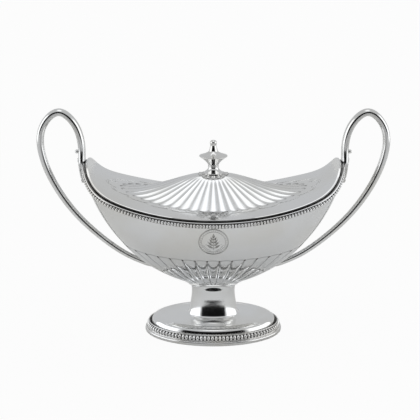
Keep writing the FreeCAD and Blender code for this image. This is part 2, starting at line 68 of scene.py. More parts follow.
def curve_through(points, count):
    """A smooth curve through points of two or more dimensions."""
    points = np.array(points, float)
    gaps = np.linalg.norm(np.diff(points, axis=0), axis=1)
    along = np.concatenate([[0.0], np.cumsum(gaps)])
    last = len(points) - 1
    rule, pull = np.eye(last + 1), np.zeros_like(points)
    for i in range(1, last):
        rule[i, i - 1:i + 2] = gaps[i - 1], 2 * (gaps[i - 1] + gaps[i]), gaps[i]
        pull[i] = 6 * ((points[i + 1] - points[i]) / gaps[i] - (points[i] - points[i - 1]) / gaps[i - 1])
    bend = np.linalg.solve(rule, pull)
    curve = []
    for at in np.linspace(0.0, along[-1], count):
        i = int(min(last - 1, max(0, np.searchsorted(along, at, side="right") - 1)))
        u, v = (along[i + 1] - at) / gaps[i], (at - along[i]) / gaps[i]
        lift = ((u ** 3 - u) * bend[i] + (v ** 3 - v) * bend[i + 1]) * gaps[i] ** 2 / 6
        curve.append(tuple(u * points[i] + v * points[i + 1] + lift))
    return curve


def flat_oval(half_length, half_width, height, columns):
    turns = [2 * math.pi * i / columns for i in range(columns)]
    return [(half_length * math.cos(t), half_width * math.sin(t), height) for t in turns]


def drawn_in(profile, wall):
    """A profile of (half length, half width, height) moved in square to itself by the sheet's wall."""
    inner = []
    for i, (length, width, height) in enumerate(profile):
        before, after = profile[max(0, i - 1)], profile[min(len(profile) - 1, i + 1)]
        out, down = after[1] - before[1], after[2] - before[2]
        size = math.hypot(out, down)
        shift = wall * down / size
        inner.append((length + shift, width + shift, height - wall * out / size))
    return inner


def metal(name, points, faces, dark=None, crease=38.0):
    """A mesh piece with faces turned outward, smooth but for its creases, and its painted shade and tarnish
    in an attribute.
    """
    mesh = bpy.data.meshes.new(name)
    mesh.from_pydata([tuple(p) for p in points], [], faces)
    if dark:
        # The attribute holds painted shade, with tarnish: how far each point's colour is darkened.
        mesh.attributes.new("tarnish_and_painted_shade", "FLOAT", "POINT").data.foreach_set("value", dark)
    turned = bmesh.new()
    turned.from_mesh(mesh)
    bmesh.ops.recalc_face_normals(turned, faces=turned.faces)
    turned.to_mesh(mesh)
    turned.free()
    mesh.shade_smooth()
    mesh.set_sharp_from_angle(angle=math.radians(crease))
    piece = bpy.data.objects.new(name, mesh)
    bpy.context.scene.collection.objects.link(piece)
    return piece


def skin(name, rows, dark=None, loop=False, capped=False, crease=38.0):
    """Faces drawn from each row of points to the next; every row runs right round the piece."""
    around, count = len(rows[0]), len(rows)
    faces = []
    for i in range(count if loop else count - 1):
        a, b = i * around, (i + 1) % count * around
        faces += [(a + k, a + (k + 1) % around, b + (k + 1) % around, b + k) for k in range(around)]
    if capped:
        faces += [tuple(range(around)), tuple(range((count - 1) * around, count * around))]
    shade = [value for row in dark for value in row] if dark else None
    return metal(name, [p for row in rows for p in row], faces, shade, crease)


def chased(shares, columns, place):
    """Rows of points and rows of tarnish, from place(share, column), which gives a point and its tarnish."""
    rows = [[place(share, i) for i in range(columns)] for share in shares]
    return [[pair[0] for pair in row] for row in rows], [[pair[1] for pair in row] for row in rows]


def silver(name, colour, bloom, gloss, scuff, ripple, shade_and_tarnish_colour=(0.035, 0.032, 0.03)):
    """Polished silver: bloom in clouds, hair scratches, a rippled hand-worked face, and painted shade with
    tarnish in hollows, gaps and backs.
    """
    finish = bpy.data.materials.new(name)
    finish.use_nodes = True
    nodes, links = finish.node_tree.nodes, finish.node_tree.links
    shader = nodes["Principled BSDF"]
    shader.inputs["Metallic"].default_value = 1.0
    place = nodes.new("ShaderNodeTexCoord")

    def clouds(scale, detail, stretch=(1.0, 1.0, 1.0)):
        mapping = nodes.new("ShaderNodeMapping")
        mapping.inputs["Scale"].default_value = stretch
        noise = nodes.new("ShaderNodeTexNoise")
        noise.inputs["Scale"].default_value = scale
        noise.inputs["Detail"].default_value = detail
        links.new(place.outputs["Object"], mapping.inputs["Vector"])
        links.new(mapping.outputs["Vector"], noise.inputs["Vector"])
        return noise.outputs["Fac"]

    def ranged(value, low, high, to_low, to_high):
        span = nodes.new("ShaderNodeMapRange")
        for socket, number in zip(("From Min", "From Max", "To Min", "To Max"), (low, high, to_low, to_high)):
            span.inputs[socket].default_value = number
        links.new(value, span.inputs["Value"])
        return span.outputs["Result"]

    def tinted(share, first, second):
        mix = nodes.new("ShaderNodeMix")
        mix.data_type = "RGBA"
        links.new(share, mix.inputs[0])
        for socket, value in ((mix.inputs[6], first), (mix.inputs[7], second)):
            if isinstance(value, tuple):
                socket.default_value = (*value, 1.0)
            else:
                links.new(value, socket)
        return mix.outputs[2]

    def summed(first, second, how="ADD"):
        total = nodes.new("ShaderNodeMath")
        total.operation = how
        total.use_clamp = True
        links.new(first, total.inputs[0])
        links.new(second, total.inputs[1])
        return total.outputs[0]

    hollow = nodes.new("ShaderNodeAttribute")
    hollow.attribute_name = "tarnish_and_painted_shade"
    patchy = ranged(clouds(220.0, 3.0), 0.3, 0.7, 0.72, 1.0)
    # Painted shade with tarnish: where the attribute says, the colour is darkened towards near black and
    # roughened.
    shade_and_tarnish_share = summed(hollow.outputs["Fac"], patchy, "MULTIPLY")
    polished = tinted(ranged(clouds(26.0, 4.0), 0.42, 0.72, 0.0, 1.0), colour, bloom)
    links.new(tinted(shade_and_tarnish_share, polished, shade_and_tarnish_colour), shader.inputs["Base Color"])
    hairs = clouds(90.0, 5.0, (2.0, 26.0, 9.0))
    cross_hairs = clouds(90.0, 5.0, (24.0, 3.0, 14.0))
    scratched = summed(ranged(hairs, 0.45, 0.8, gloss, gloss + scuff),
                       ranged(cross_hairs, 0.5, 0.85, 0.0, scuff))
    hazed = summed(scratched, ranged(clouds(14.0, 3.0), 0.4, 0.75, 0.0, 0.5 * scuff))
    links.new(summed(hazed, ranged(shade_and_tarnish_share, 0.0, 1.0, 0.0, 0.3)), shader.inputs["Roughness"])
    worked = nodes.new("ShaderNodeBump")
    worked.inputs["Strength"].default_value = 1.0
    worked.inputs["Distance"].default_value = ripple
    links.new(clouds(55.0, 1.5), worked.inputs["Height"])
    brushed = nodes.new("ShaderNodeBump")
    brushed.inputs["Strength"].default_value = 0.35
    brushed.inputs["Distance"].default_value = 0.000012
    links.new(hairs, brushed.inputs["Height"])
    links.new(worked.outputs["Normal"], brushed.inputs["Normal"])
    links.new(brushed.outputs["Normal"], shader.inputs["Normal"])
    return finish


def dress(piece, finish):
    piece.data.materials.clear()
    piece.data.materials.append(finish)


def fit(piece, finish, body, slot, *nodes):
    """Gives a piece its finish and its body, and lets it stand for its nodes; slot is not used."""
    dress(piece, finish)
    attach(piece, body)
    if nodes:
        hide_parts(*nodes)


def foot_size(inset, height):
    return foot_half_length - inset, foot_half_width - inset, height


stem_levels = ((8.0, 1.1, 1.134), (5.6, 0.62, 1.073), (3.3, 0.12, 1.022), (1.1, 0.1, 0.966),
               (0.35, 0.28, 0.914), (0.08, 0.46, 0.858), (0.0, 0.5, 0.806), (0.0, 0.52, 0.72),
               (0.1, 0.6, 0.634), (0.4, 0.88, 0.526), (1.0, 1.42, 0.353), (1.5, 1.9, 0.246),
               (2.35, 2.55, 0.142), (3.3, 3.3, 0.073), (5.0, 4.7, 0.03), (9.0, 7.4, 0.009))
stem = [(NECK_HALF_LENGTH + 0.001 * along, NECK_HALF_WIDTH + 0.001 * across,
         CREST_HEIGHT + share * (bowl_floor_height - CREST_HEIGHT)) for along, across, share in stem_levels]
stem_profile = curve_through(stem + [foot_size(CREST_INSET, CREST_HEIGHT)], 120)
step_width, step_height = CREST_INSET - STEP_INSET, CREST_HEIGHT - skirt_top
step_levels = ((0.0, 0.0), (0.05, -0.06), (0.23, -0.1), (0.45, -0.02), (0.62, 0.13), (0.8, 0.33), (0.92, 0.6),
               (1.0, 1.0))
step_profile = curve_through([foot_size(CREST_INSET - out * step_width, CREST_HEIGHT - down * step_height)
                              for out, down in step_levels], 26)
skirt_profile = [foot_size(SKIRT_INSET, plinth_height)]
outer_profile = stem_profile + step_profile[1:] + skirt_profile
inner_profile = drawn_in(outer_profile, PEDESTAL_WALL)
inner_profile[-1] = foot_size(SKIRT_INSET + PEDESTAL_WALL, plinth_height)
rows = [flat_oval(*size, PEDESTAL_COLUMNS) for size in outer_profile + inner_profile[::-1]]
# The inside face and the skirt's foot are darkened: painted shade inside the hollow trumpet.
dark_rows = [[0.0 if i < len(outer_profile) - 1 else 0.4] * PEDESTAL_COLUMNS for i in range(len(rows))]
sheet_silver = silver("polished_sheet_silver", (0.90, 0.905, 0.91), (0.84, 0.83, 0.80), 0.075, 0.07, 0.00011)
pedestal = skin("pedestal_trumpet", rows, dark_rows, loop=True)
fit(pedestal, sheet_silver, "bowl", "raised_silver", "pedestal")


def ring_wire(name, path, radius, sides=10):
    """A thin round wire that follows a closed path of points."""
    count = len(path)
    rows = []
    for i, point in enumerate(path):
        along = (Vector(path[(i + 1) % count]) - Vector(path[i - 1])).normalized()
        side = along.cross(Vector((0, 0, 1))).normalized()
        up = side.cross(along)
        turns = [2 * math.pi * k / sides for k in range(sides)]
        rows.append([Vector(point) + radius * (math.cos(t) * side + math.sin(t) * up) for t in turns])
    return skin(name, rows, loop=True, crease=60.0)


wire_silver = silver("drawn_wire_silver", (0.90, 0.90, 0.90), (0.80, 0.78, 0.74), 0.09, 0.08, 0.00003)
stem_top = [level for level in stem_profile if level[2] > bowl_floor_height - 0.004][::-1]
seam_path = []
for i in range(PEDESTAL_COLUMNS):
    turn = 2 * math.pi * i / PEDESTAL_COLUMNS
    height = SEAM_END_HEIGHT + (SEAM_SIDE_HEIGHT - SEAM_END_HEIGHT) * math.sin(turn) ** 2
    half = [float(np.interp(height, [level[2] for level in stem_top], [level[k] for level in stem_top]))
            for k in (0, 1)]
    seam_path.append((half[0] * math.cos(turn), half[1] * math.sin(turn), height))
seam = ring_wire("bowl_seam_fillet", seam_path, SEAM_RADIUS)
fit(seam, wire_silver, "bowl", "silver_wire")

# ---- Plinth wire ------------------------------------------------------------------------------
# A flat oval of drawn silver wire soldered under the skirt; the whole bowl stands on it.
# Its outer edge is rounded over by years of sliding on tables.
PLINTH_EDGE = 0.0009
plinth_inner = foot_half_length - abs(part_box("pedestal")[0][0]) + 0.001


def plinth_section():
    """(inset, height) round the wire's section, from the underside out and over to the inner edge."""
    low, high = plinth_low[2], plinth_height
    turns = [math.radians(a) for a in (-90, -60, -30, 0)]
    lower = [(PLINTH_EDGE * (1 - math.cos(t)), low + PLINTH_EDGE * (1 + math.sin(t))) for t in turns]
    turns = [math.radians(a) for a in (0, 30, 60, 90)]
    upper = [(PLINTH_EDGE * (1 - math.cos(t)), high - PLINTH_EDGE * (1 - math.sin(t))) for t in turns]
    return lower + upper + [(plinth_inner, high), (plinth_inner, low)]


rows = [flat_oval(*foot_size(inset, height), 240) for inset, height in plinth_section()]
# The inner face under the foot is darkened: painted shade.
plinth = skin("plinth_wire", rows, [[0.0] * 240] * (len(rows) - 2) + [[0.8] * 240] * 2, loop=True)
fit(plinth, wire_silver, "bowl", "silver_wire", "foot_plinth_wire")

# ---- Foot beading -----------------------------------------------------------------------------
# Egg-shaped beads struck in one strip of silver, bent round the foot and soldered between the plinth
# and the step, with a fine plain wire above and below. Each bead's back is darkened: painted shade and
# tarnish.
FOOT_BEAD_PITCH = 0.00255
FOOT_BEAD_HEIGHT = 0.0037
FOOT_BEAD_LEAN = 0.18
FOOT_BEAD_EGG = 0.12
FOOT_WIRE_RADIUS = 0.00038


def along_path(path, pitch):
    """Places spread evenly along a closed path: (point, direction), about one pitch apart."""
    path = [Vector(p) for p in path]
    path.append(path[0])
    runs = [0.0]
    for a, b in zip(path, path[1:]):
        runs.append(runs[-1] + (b - a).length)
    count = round(runs[-1] / pitch)
    places, i = [], 0
    for k in range(count):
        at = runs[-1] * (k + 0.5) / count
        while runs[i + 1] < at:
            i += 1
        share = (at - runs[i]) / (runs[i + 1] - runs[i])
        places.append((path[i].lerp(path[i + 1], share), (path[i + 1] - path[i]).normalized()))
    return places


def bead_points(centre, along, up, out, half, egg):
    """Points of one bead; egg makes its upper end narrower than its lower end."""
    points, sides, levels = [], 12, 9
    for j in range(1, levels):
        lean = math.pi * j / levels
        height = -math.cos(lean)
        reach = math.sin(lean) * (1.0 - egg * height)
        for k in range(sides):
            turn = 2 * math.pi * k / sides
            points.append(centre + up * (half[1] * height) + along * (half[0] * reach * math.cos(turn))
                          + out * (half[2] * reach * math.sin(turn)))
    points += [centre - up * half[1], centre + up * half[1]]
    faces = []
    for j in range(levels - 2):
        a, b = j * sides, (j + 1) * sides
        faces += [(a + k, a + (k + 1) % sides, b + (k + 1) % sides, b + k) for k in range(sides)]
    low, high, top = len(points) - 2, len(points) - 1, (levels - 2) * sides
    faces += [(low, (k + 1) % sides, k) for k in range(sides)]
    faces += [(high, top + k, top + (k + 1) % sides) for k in range(sides)]
    return points, faces


def beads(name, places, half, egg=0.0):
    """Row of beads at (centre, along, up, out), as one piece; each is darkened round its back and sides with
    painted shade and tarnish.
    """
    points, faces, dark = [], [], []
    for centre, along, up, out in places:
        more, joined = bead_points(centre, along, up, out, half, egg)
        faces += [tuple(len(points) + n for n in face) for face in joined]
        for p in more:
            side, front = abs((p - centre).dot(along)) / half[0], (p - centre).dot(out) / half[2]
            # Painted shade with tarnish: darker towards each bead's back and sides, where it meets its
            # neighbours and the strip.
            dark.append(min(1.0, max(0.0, 0.9 - 3.0 * front) + 0.5 * max(0.0, side - 0.75)))
        points += more
    return metal(name, points, faces, dark, crease=80.0)


border_low, border_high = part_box("foot_bead_border")
bead_reach = foot_half_length - border_high[0]
bead_back = SKIRT_INSET + 0.0004
bead_middle = 0.5 * (border_low[2] + border_high[2])
foot_places = []
for point, along in along_path(flat_oval(*foot_size(0.5 * (bead_reach + bead_back), bead_middle), 360),
                               FOOT_BEAD_PITCH):
    out = along.cross(Vector((0, 0, 1))).normalized()
    lean = (Vector((0, 0, 1)) - FOOT_BEAD_LEAN * out).normalized()
    foot_places.append((point, along, lean, out))
foot_bead_half = (0.445 * FOOT_BEAD_PITCH, 0.5 * FOOT_BEAD_HEIGHT, 0.5 * (bead_back - bead_reach))
foot_beads = beads("foot_beads", foot_places, foot_bead_half, FOOT_BEAD_EGG)
fit(foot_beads, wire_silver, "bowl", "silver_wire", "foot_bead_border")
for name, height, inset in (("foot_bead_wire_low", border_low[2] + FOOT_WIRE_RADIUS, bead_reach + 0.0007),
                            ("foot_bead_wire_high", border_high[2] - FOOT_WIRE_RADIUS, bead_reach + 0.0015)):
    fine_wire = ring_wire(name, flat_oval(*foot_size(inset, height), 240), FOOT_WIRE_RADIUS, 8)
    fit(fine_wire, wire_silver, "bowl", "silver_wire")

# ---- Bowl -------------------------------------------------------------------------------------
# Raised by hammer from one sheet: a boat shape that sweeps up to both handles. Forty lobes are chased
# up from inside on the lower half, with a punched mark over every cusp, and the upper half is plain.
RIM_SQUARENESS = 1.15
PROW_SHARE = 0.38
PROW_POWER = 16
BOWL_FLOOR_HALF = (0.0080, 0.0059)
BOWL_WALL = 0.0010
FRONT = -0.5 * math.pi
LOBES = 40
LOBE_COLUMNS = 12
LOBE_CUSP = 0.5899
LOBE_CROWN = 0.604
LOBE_RELIEF = 0.0012

rim_half_length, rim_half_width, rim_end_height = bowl_high
rim_mid_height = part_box("rim_lip_wire")[0][2]
end_rise, side_rise = rim_end_height - bowl_floor_height, rim_mid_height - bowl_floor_height
end_curve = ((BOWL_FLOOR_HALF[0], bowl_floor_height),
             (0.455 * rim_half_length, bowl_floor_height + 0.048 * end_rise),
             (0.875 * rim_half_length, bowl_floor_height + 0.402 * end_rise),
             (rim_half_length, rim_end_height))
side_curve = ((BOWL_FLOOR_HALF[1], bowl_floor_height),
              (0.375 * rim_half_width, bowl_floor_height + 0.015 * side_rise),
              (0.93 * rim_half_width, bowl_floor_height + 0.59 * side_rise), (rim_half_width, rim_mid_height))


def beside(curve, t, out=0.0):
    """Point of a wall's curve, moved out square to it."""
    a, b, c, d = curve
    k = 1.0 - t
    at = [k ** 3 * a[i] + 3 * k * k * t * b[i] + 3 * k * t * t * c[i] + t ** 3 * d[i] for i in (0, 1)]
    run = [k * k * (b[i] - a[i]) + 2 * k * t * (c[i] - b[i]) + t * t * (d[i] - c[i]) for i in (0, 1)]
    size = math.hypot(*run)
    return at[0] + out * run[1] / size, at[1] - out * run[0] / size


def sheer(share, t):
    """How far the wall's level line has climbed from the middle's height to the end's."""
    prow = PROW_SHARE * t * t
    return (1.0 - prow) * share ** 2 + prow * abs(share) ** PROW_POWER


def oval_reach(squareness, turn):
    power = 2.0 + squareness
    return (abs(math.cos(turn)) ** power + abs(math.sin(turn)) ** power) ** (-1.0 / power)


def on_oval(turn, t, end, side):
    """Point of the oval through an end (half length, height) and a side (half width, height)."""
    reach = oval_reach(RIM_SQUARENESS * t, turn)
    share = reach * math.cos(turn)
    return Vector((end[0] * share, side[0] * reach * math.sin(turn),
                   side[1] + (end[1] - side[1]) * sheer(share, t)))


def wall_point(turn, t, out=0.0):
    """Point of the bowl's wall: t runs from the floor (0) to the rim (1)."""
    return on_oval(turn, t, beside(end_curve, t, out), beside(side_curve, t, out))


def even_turns(path_of, divisions, columns, start):
    """Turns that divide a closed line into even lengths, with columns between the divisions."""
    fine = 4000
    line = [path_of(start + 2 * math.pi * i / fine) for i in range(fine + 1)]
    runs = np.concatenate([[0.0], np.cumsum([(b - a).length for a, b in zip(line, line[1:])])])
    wanted = np.linspace(0.0, runs[-1], divisions * columns + 1)[:-1]
    return list(start + 2 * math.pi * np.interp(wanted, runs, np.arange(fine + 1)) / fine)


def lobe_rise(t, across):
    """How far a lobe stands out of the wall, and how dark its edge is; across is -1 to 1 over the lobe."""
    crown = LOBE_CUSP + (LOBE_CROWN - LOBE_CUSP) * (1.0 - across ** 2) ** 0.5
    width = min(1.0, 0.16 + 1.05 * t / LOBE_CUSP)
    inside = (crown - t) / 0.11
    # Painted shade: the valleys between lobes and a thin line along their tops are darkened, as shade in the
    # creases.
    if inside <= 0.0:
        return 0.0, 0.6 * math.exp(-(inside / 0.035) ** 2)
    shoulder = min(1.0, 0.45 * inside) * (2.0 - min(1.0, 0.45 * inside))
    hump = (1.0 - abs(across) ** 2.3) ** 0.62 - 0.62
    foot = min(1.0, t / 0.10)
    valley = max(0.0, abs(across) - 0.80) / 0.20
    edge = math.exp(-(inside / 0.035) ** 2)
    return (LOBE_RELIEF * width * foot * hump * (0.12 + 0.88 * shoulder),
            min(1.0, 0.8 * valley ** 2 + 0.6 * edge))


lobe_turns = even_turns(lambda turn: wall_point(turn, LOBE_CUSP), LOBES, LOBE_COLUMNS, FRONT)
levels = [*np.linspace(0.0, 0.5, 34), *np.linspace(0.508, 0.624, 30), *np.linspace(0.64, 1.0, 26)]


def lobed(t, i):
    across = 2.0 * ((i + LOBE_COLUMNS // 2) % LOBE_COLUMNS) / LOBE_COLUMNS - 1.0
    rise, dark = lobe_rise(t, across)
    return wall_point(lobe_turns[i], t, rise), dark


rows, dark_rows = chased(levels, len(lobe_turns), lobed)
for t in np.linspace(1.0, 0.06, 40):
    rows.append([wall_point(turn, t, -BOWL_WALL) if t < 1.0 else
                 wall_point(turn, 1.0) * 0.5 + wall_point(turn, 1.0, -2 * BOWL_WALL) * 0.5
                 for turn in lobe_turns])
    # The inside of the wall is darkened a little: painted shade under the cover.
    dark_rows.append([0.12] * len(lobe_turns))
for row in rows:
    for point in row:
        point.z = min(point.z, rim_end_height)
bowl = skin("bowl_wall", rows, dark_rows, capped=True, crease=50.0)
fit(bowl, sheet_silver, "bowl", "raised_silver", "bowl_shell")

# ---- Roundel and punched marks ------------------------------------------------------------------
# Cut with a graver in the front of the bowl: three rings, with dots between the inner two, round a
# plain upright sprig of leaves. Over each lobe's cusp there is one small mark struck with a punch.
ROUNDEL_HEIGHT = 0.0770
ROUNDEL_RADIUS = 0.0098
DOTS_OUT = 0.877
DOT_RADIUS = 0.00024
MARK_HALF_LOBE = 0.085
MARK_HALF_HEIGHT = 0.0007
MARK_ABOVE_CUSP = 0.0006
CUT_WIDTH = 0.00026
CUT_DEPTH = 0.00012
CUT_PROUD = 0.00003


def wall_normal(turn, t):
    across = wall_point(turn + 0.01, t) - wall_point(turn - 0.01, t)
    return across.cross(wall_point(turn, t + 0.01) - wall_point(turn, t - 0.01)).normalized()


def on_front(across, height):
    """Point just proud of the bowl's front, at a distance across from the middle and a height."""
    turn, t = FRONT + across / rim_half_width * 0.6, 0.8
    for step in range(7):
        here = wall_point(turn, t)
        by_turn, by_t = wall_point(turn + 0.001, t) - here, wall_point(turn, t + 0.001) - here
        spread = by_turn.x * by_t.z - by_turn.z * by_t.x
        off_x, off_z = across - here.x, height - here.z
        turn += 0.001 * (off_x * by_t.z - off_z * by_t.x) / spread
        t += 0.001 * (by_turn.x * off_z - by_turn.z * off_x) / spread
    return wall_point(turn, t) + CUT_PROUD * wall_normal(turn, t)


class Cuts:
    """A graver's cuts: strips and small leaves in a flat pattern, which place() lays on a surface."""

    def __init__(self, place):
        self.place, self.points, self.faces = place, [], []

    def line(self, pattern, width, closed=False):
        count, first = len(pattern), len(self.points)
        for i, (x, y) in enumerate(pattern):
            before = pattern[i - 1] if closed or i else pattern[i]
            after = pattern[(i + 1) % count] if closed or i < count - 1 else pattern[i]
            dx, dy = after[0] - before[0], after[1] - before[1]
            size = math.hypot(dx, dy)
            taper = 1.0 if closed else min(1.0, 0.3 + 4.0 * min(i, count - 1 - i) / count)
            half = 0.5 * width * taper
            for side in (half, -half):
                self.points.append(self.place(x - dy / size * side, y + dx / size * side))
        for i in range(count if closed else count - 1):
            a, b = first + 2 * i, first + 2 * ((i + 1) % count)
            self.faces.append((a, a + 1, b + 1, b))

    def leaf(self, x, y, heading, length, width):
        rim = [(k / 8, math.sin(math.pi * (k / 8) ** 0.8)) for k in range(9)]
        outline = []
        for along, side in rim + [(a, -b) for a, b in rim[-2:0:-1]]:
            u, v = along * length, 0.5 * side * width
            outline.append((x + u * math.cos(heading) - v * math.sin(heading),
                            y + u * math.sin(heading) + v * math.cos(heading)))
        self.patch(outline)

    def dot(self, x, y, half_width, half_height):
        turns = [2 * math.pi * k / 10 for k in range(10)]
        self.patch([(x + half_width * math.cos(t), y + half_height * math.sin(t)) for t in turns])

    def patch(self, outline):
        first = len(self.points)
        self.points += [self.place(x, y) for x, y in outline]
        self.faces.append(tuple(range(first, len(self.points))))

    def piece(self, name):
        cut = metal(name, self.points, self.faces)
        thick = cut.modifiers.new("depth", "SOLIDIFY")
        thick.thickness, thick.offset = CUT_DEPTH, 0.0
        return cut


graver_silver = silver("graver_cut_silver", (0.52, 0.515, 0.50), (0.42, 0.41, 0.39), 0.30, 0.15, 0.00001)
roundel = Cuts(lambda x, y: on_front(x, ROUNDEL_HEIGHT + y))
full_turn = [2 * math.pi * i / 64 for i in range(64)]
for share, width in ((1.0, 1.3), (0.955, 0.8), (0.80, 1.0)):
    ring = [(share * ROUNDEL_RADIUS * math.cos(t), share * ROUNDEL_RADIUS * math.sin(t)) for t in full_turn]
    roundel.line(ring, width * CUT_WIDTH, closed=True)
for i in range(36):
    turn = 2 * math.pi * i / 36
    roundel.dot(DOTS_OUT * ROUNDEL_RADIUS * math.cos(turn), DOTS_OUT * ROUNDEL_RADIUS * math.sin(turn),
                DOT_RADIUS, DOT_RADIUS)
stem_foot, stem_tip = -0.66 * ROUNDEL_RADIUS, 0.36 * ROUNDEL_RADIUS
roundel.line([(0.0, stem_foot + (stem_tip - stem_foot) * i / 8) for i in range(9)], 1.6 * CUT_WIDTH)
roundel.leaf(0.0, stem_tip - 0.0004, 0.5 * math.pi, 0.0034, 0.0017)
for i in range(4):
    height = stem_foot + 0.0016 + 0.0021 * i
    length = 0.0050 - 0.0007 * i
    for side in (1, -1):
        heading = math.radians(90 - side * (58 - 7 * i))
        roundel.leaf(side * 0.0002, height, heading, length, 0.0015)
        vein = [(side * 0.0002 + s * length * math.cos(heading), height + s * length * math.sin(heading))
                for s in (1.0, 1.1, 1.2)]
        roundel.line(vein, 0.7 * CUT_WIDTH)
for side in (1, -1):
    sweep = [math.radians(-90 + side * a) for a in range(12, 74, 6)]
    roundel.line([(0.70 * ROUNDEL_RADIUS * math.cos(a), 0.70 * ROUNDEL_RADIUS * math.sin(a)) for a in sweep],
                 CUT_WIDTH)
fit(roundel.piece("bowl_roundel"), graver_silver, "bowl", "raised_silver")


def over_cusps(x, y):
    """Lays a flat pattern over the bowl: x counts lobes round from the front, y is in metres up the wall."""
    turn = float(np.interp(x * LOBE_COLUMNS % len(lobe_turns), range(len(lobe_turns) + 1),
                           lobe_turns + [lobe_turns[0] + 2 * math.pi]))
    t = LOBE_CUSP + y / 0.1
    return wall_point(turn, t) + CUT_PROUD * wall_normal(turn, t)


punched = Cuts(over_cusps)
for i in range(LOBES):
    punched.dot(i + 0.5, MARK_ABOVE_CUSP, MARK_HALF_LOBE, MARK_HALF_HEIGHT)
punched_silver = silver("punched_silver", (0.20, 0.19, 0.18), (0.14, 0.13, 0.12), 0.35, 0.1, 0.00002)
fit(punched.piece("bowl_punch_marks"), punched_silver, "bowl", "raised_silver")

# ---- Rim lip ----------------------------------------------------------------------------------
# Flat drawn wire soldered along the top of the wall. It stiffens the rim, and the cover's edge rests
# on it; its outer corner is rounded and shows as a bright line over the beads.
LIP_OUTSIDE = 0.0005
LIP_INSIDE = 0.0024
LIP_HEIGHT = 0.0007
RIM_COLUMNS = 480


def over_rim(up, inset, columns=RIM_COLUMNS):
    """The rim's own outline, drawn in by an inset and lifted straight up."""
    end, side = (rim_half_length - inset, rim_end_height + up), (rim_half_width - inset, rim_mid_height + up)
    return [on_oval(2 * math.pi * i / columns, 1.0, end, side) for i in range(columns)]


lip_section = ((0.00015, 0.0), (0.00012 - LIP_OUTSIDE, 0.00002), (-LIP_OUTSIDE, 0.00015),
               (-LIP_OUTSIDE, LIP_HEIGHT - 0.00025), (0.0001 - LIP_OUTSIDE, LIP_HEIGHT - 0.00008),
               (0.0003 - LIP_OUTSIDE, LIP_HEIGHT), (0.0002, LIP_HEIGHT), (LIP_INSIDE - 0.0003, LIP_HEIGHT),
               (LIP_INSIDE - 0.00005, LIP_HEIGHT - 0.0001), (LIP_INSIDE, LIP_HEIGHT - 0.0003),
               (LIP_INSIDE, 0.00005), (LIP_INSIDE - 0.0002, 0.0))
rows = [over_rim(up, inset) for inset, up in lip_section]
# Painted shadow: the lip's top, inside and underside are darkened to near black for the gap under the cover's
# edge; the rounded outer corner is not.
dark_rows = [[0.95 if inset > 0.0001 or up < 0.0001 else 0.0] * RIM_COLUMNS for inset, up in lip_section]
lip = skin("rim_lip", rows, dark_rows, loop=True)
fit(lip, wire_silver, "bowl", "silver_wire", "rim_lip_wire")

# ---- Rim beading ------------------------------------------------------------------------------
# Small round beads struck in a strip of silver and soldered round the outside of the rim. The strip
# stops at each handle's leaf; the strip and the beads' backs are darkened with painted shade and tarnish.
RIM_BEAD_PITCH = 0.0021
RIM_BEAD_HEIGHT = 0.0027
RIM_BEAD_DROP = 0.0002
RIM_BAND_DEPTH = 0.0017
LEAF_GAP = 0.0054


def below_rim(down, out, columns=RIM_COLUMNS):
    """The level line a distance down the wall from the rim, moved out from the wall."""
    ts = []
    for curve in (end_curve, side_curve):
        (x0, z0), (x1, z1) = curve[2], curve[3]
        ts.append(1.0 - down / (3.0 * math.hypot(x1 - x0, z1 - z0)))
    end, side = beside(end_curve, ts[0], out), beside(side_curve, ts[1], out)
    return [on_oval(2 * math.pi * i / columns, 0.5 * (ts[0] + ts[1]), end, side) for i in range(columns)]


def outward(point, along):
    """Direction square to a rim line and away from the wall."""
    level = along.cross(Vector((0, 0, 1))).normalized()
    up = level.cross(along).normalized()
    if up.z < 0:
        up = -up
    if level.x * point.x + level.y * point.y < 0:
        level = -level
    return level, up


rim_places = {"front": [], "back": []}
bead_line = below_rim(RIM_BEAD_DROP + 0.5 * RIM_BEAD_HEIGHT, 0.42 * RIM_BAND_DEPTH)
for point, along in along_path(bead_line, RIM_BEAD_PITCH):
    if abs(point.y) < LEAF_GAP:
        continue
    out, up = outward(point, along)
    rim_places["front" if point.y < 0 else "back"].append((point, along, up, out))
rim_bead_half = (0.44 * RIM_BEAD_PITCH, 0.5 * RIM_BEAD_HEIGHT, 0.56 * RIM_BAND_DEPTH)
fit(beads("rim_beads_front", rim_places["front"], rim_bead_half), wire_silver, "bowl", "silver_wire",
    "rim_bead_border")
fit(beads("rim_beads_back", rim_places["back"], rim_bead_half), wire_silver, "bowl", "silver_wire")


def strip(name, top, bottom, front):
    """The thin strip that the beads stand on, on one side of the bowl, as a closed band."""
    side = -1 if front else 1
    keep = [i for i, p in enumerate(top[0]) if side * p.y > LEAF_GAP - 0.0004]
    section = [top[0], top[1], bottom[1], bottom[0]]
    rows = [[line[i] for line in section] for i in keep]
    # The strip is darkened all over: painted shade with tarnish between the beads.
    return skin(name, rows, [[1.0] * 4 for row in rows], capped=True, crease=30.0)


strip_top = (below_rim(RIM_BEAD_DROP, 0.0), below_rim(RIM_BEAD_DROP, 0.3 * RIM_BAND_DEPTH))
strip_foot = (below_rim(RIM_BEAD_DROP + RIM_BEAD_HEIGHT, 0.0),
              below_rim(RIM_BEAD_DROP + RIM_BEAD_HEIGHT, 0.3 * RIM_BAND_DEPTH))
for name, front in (("rim_bead_strip_front", True), ("rim_bead_strip_back", False)):
    fit(strip(name, strip_top, strip_foot, front), wire_silver, "bowl", "silver_wire")

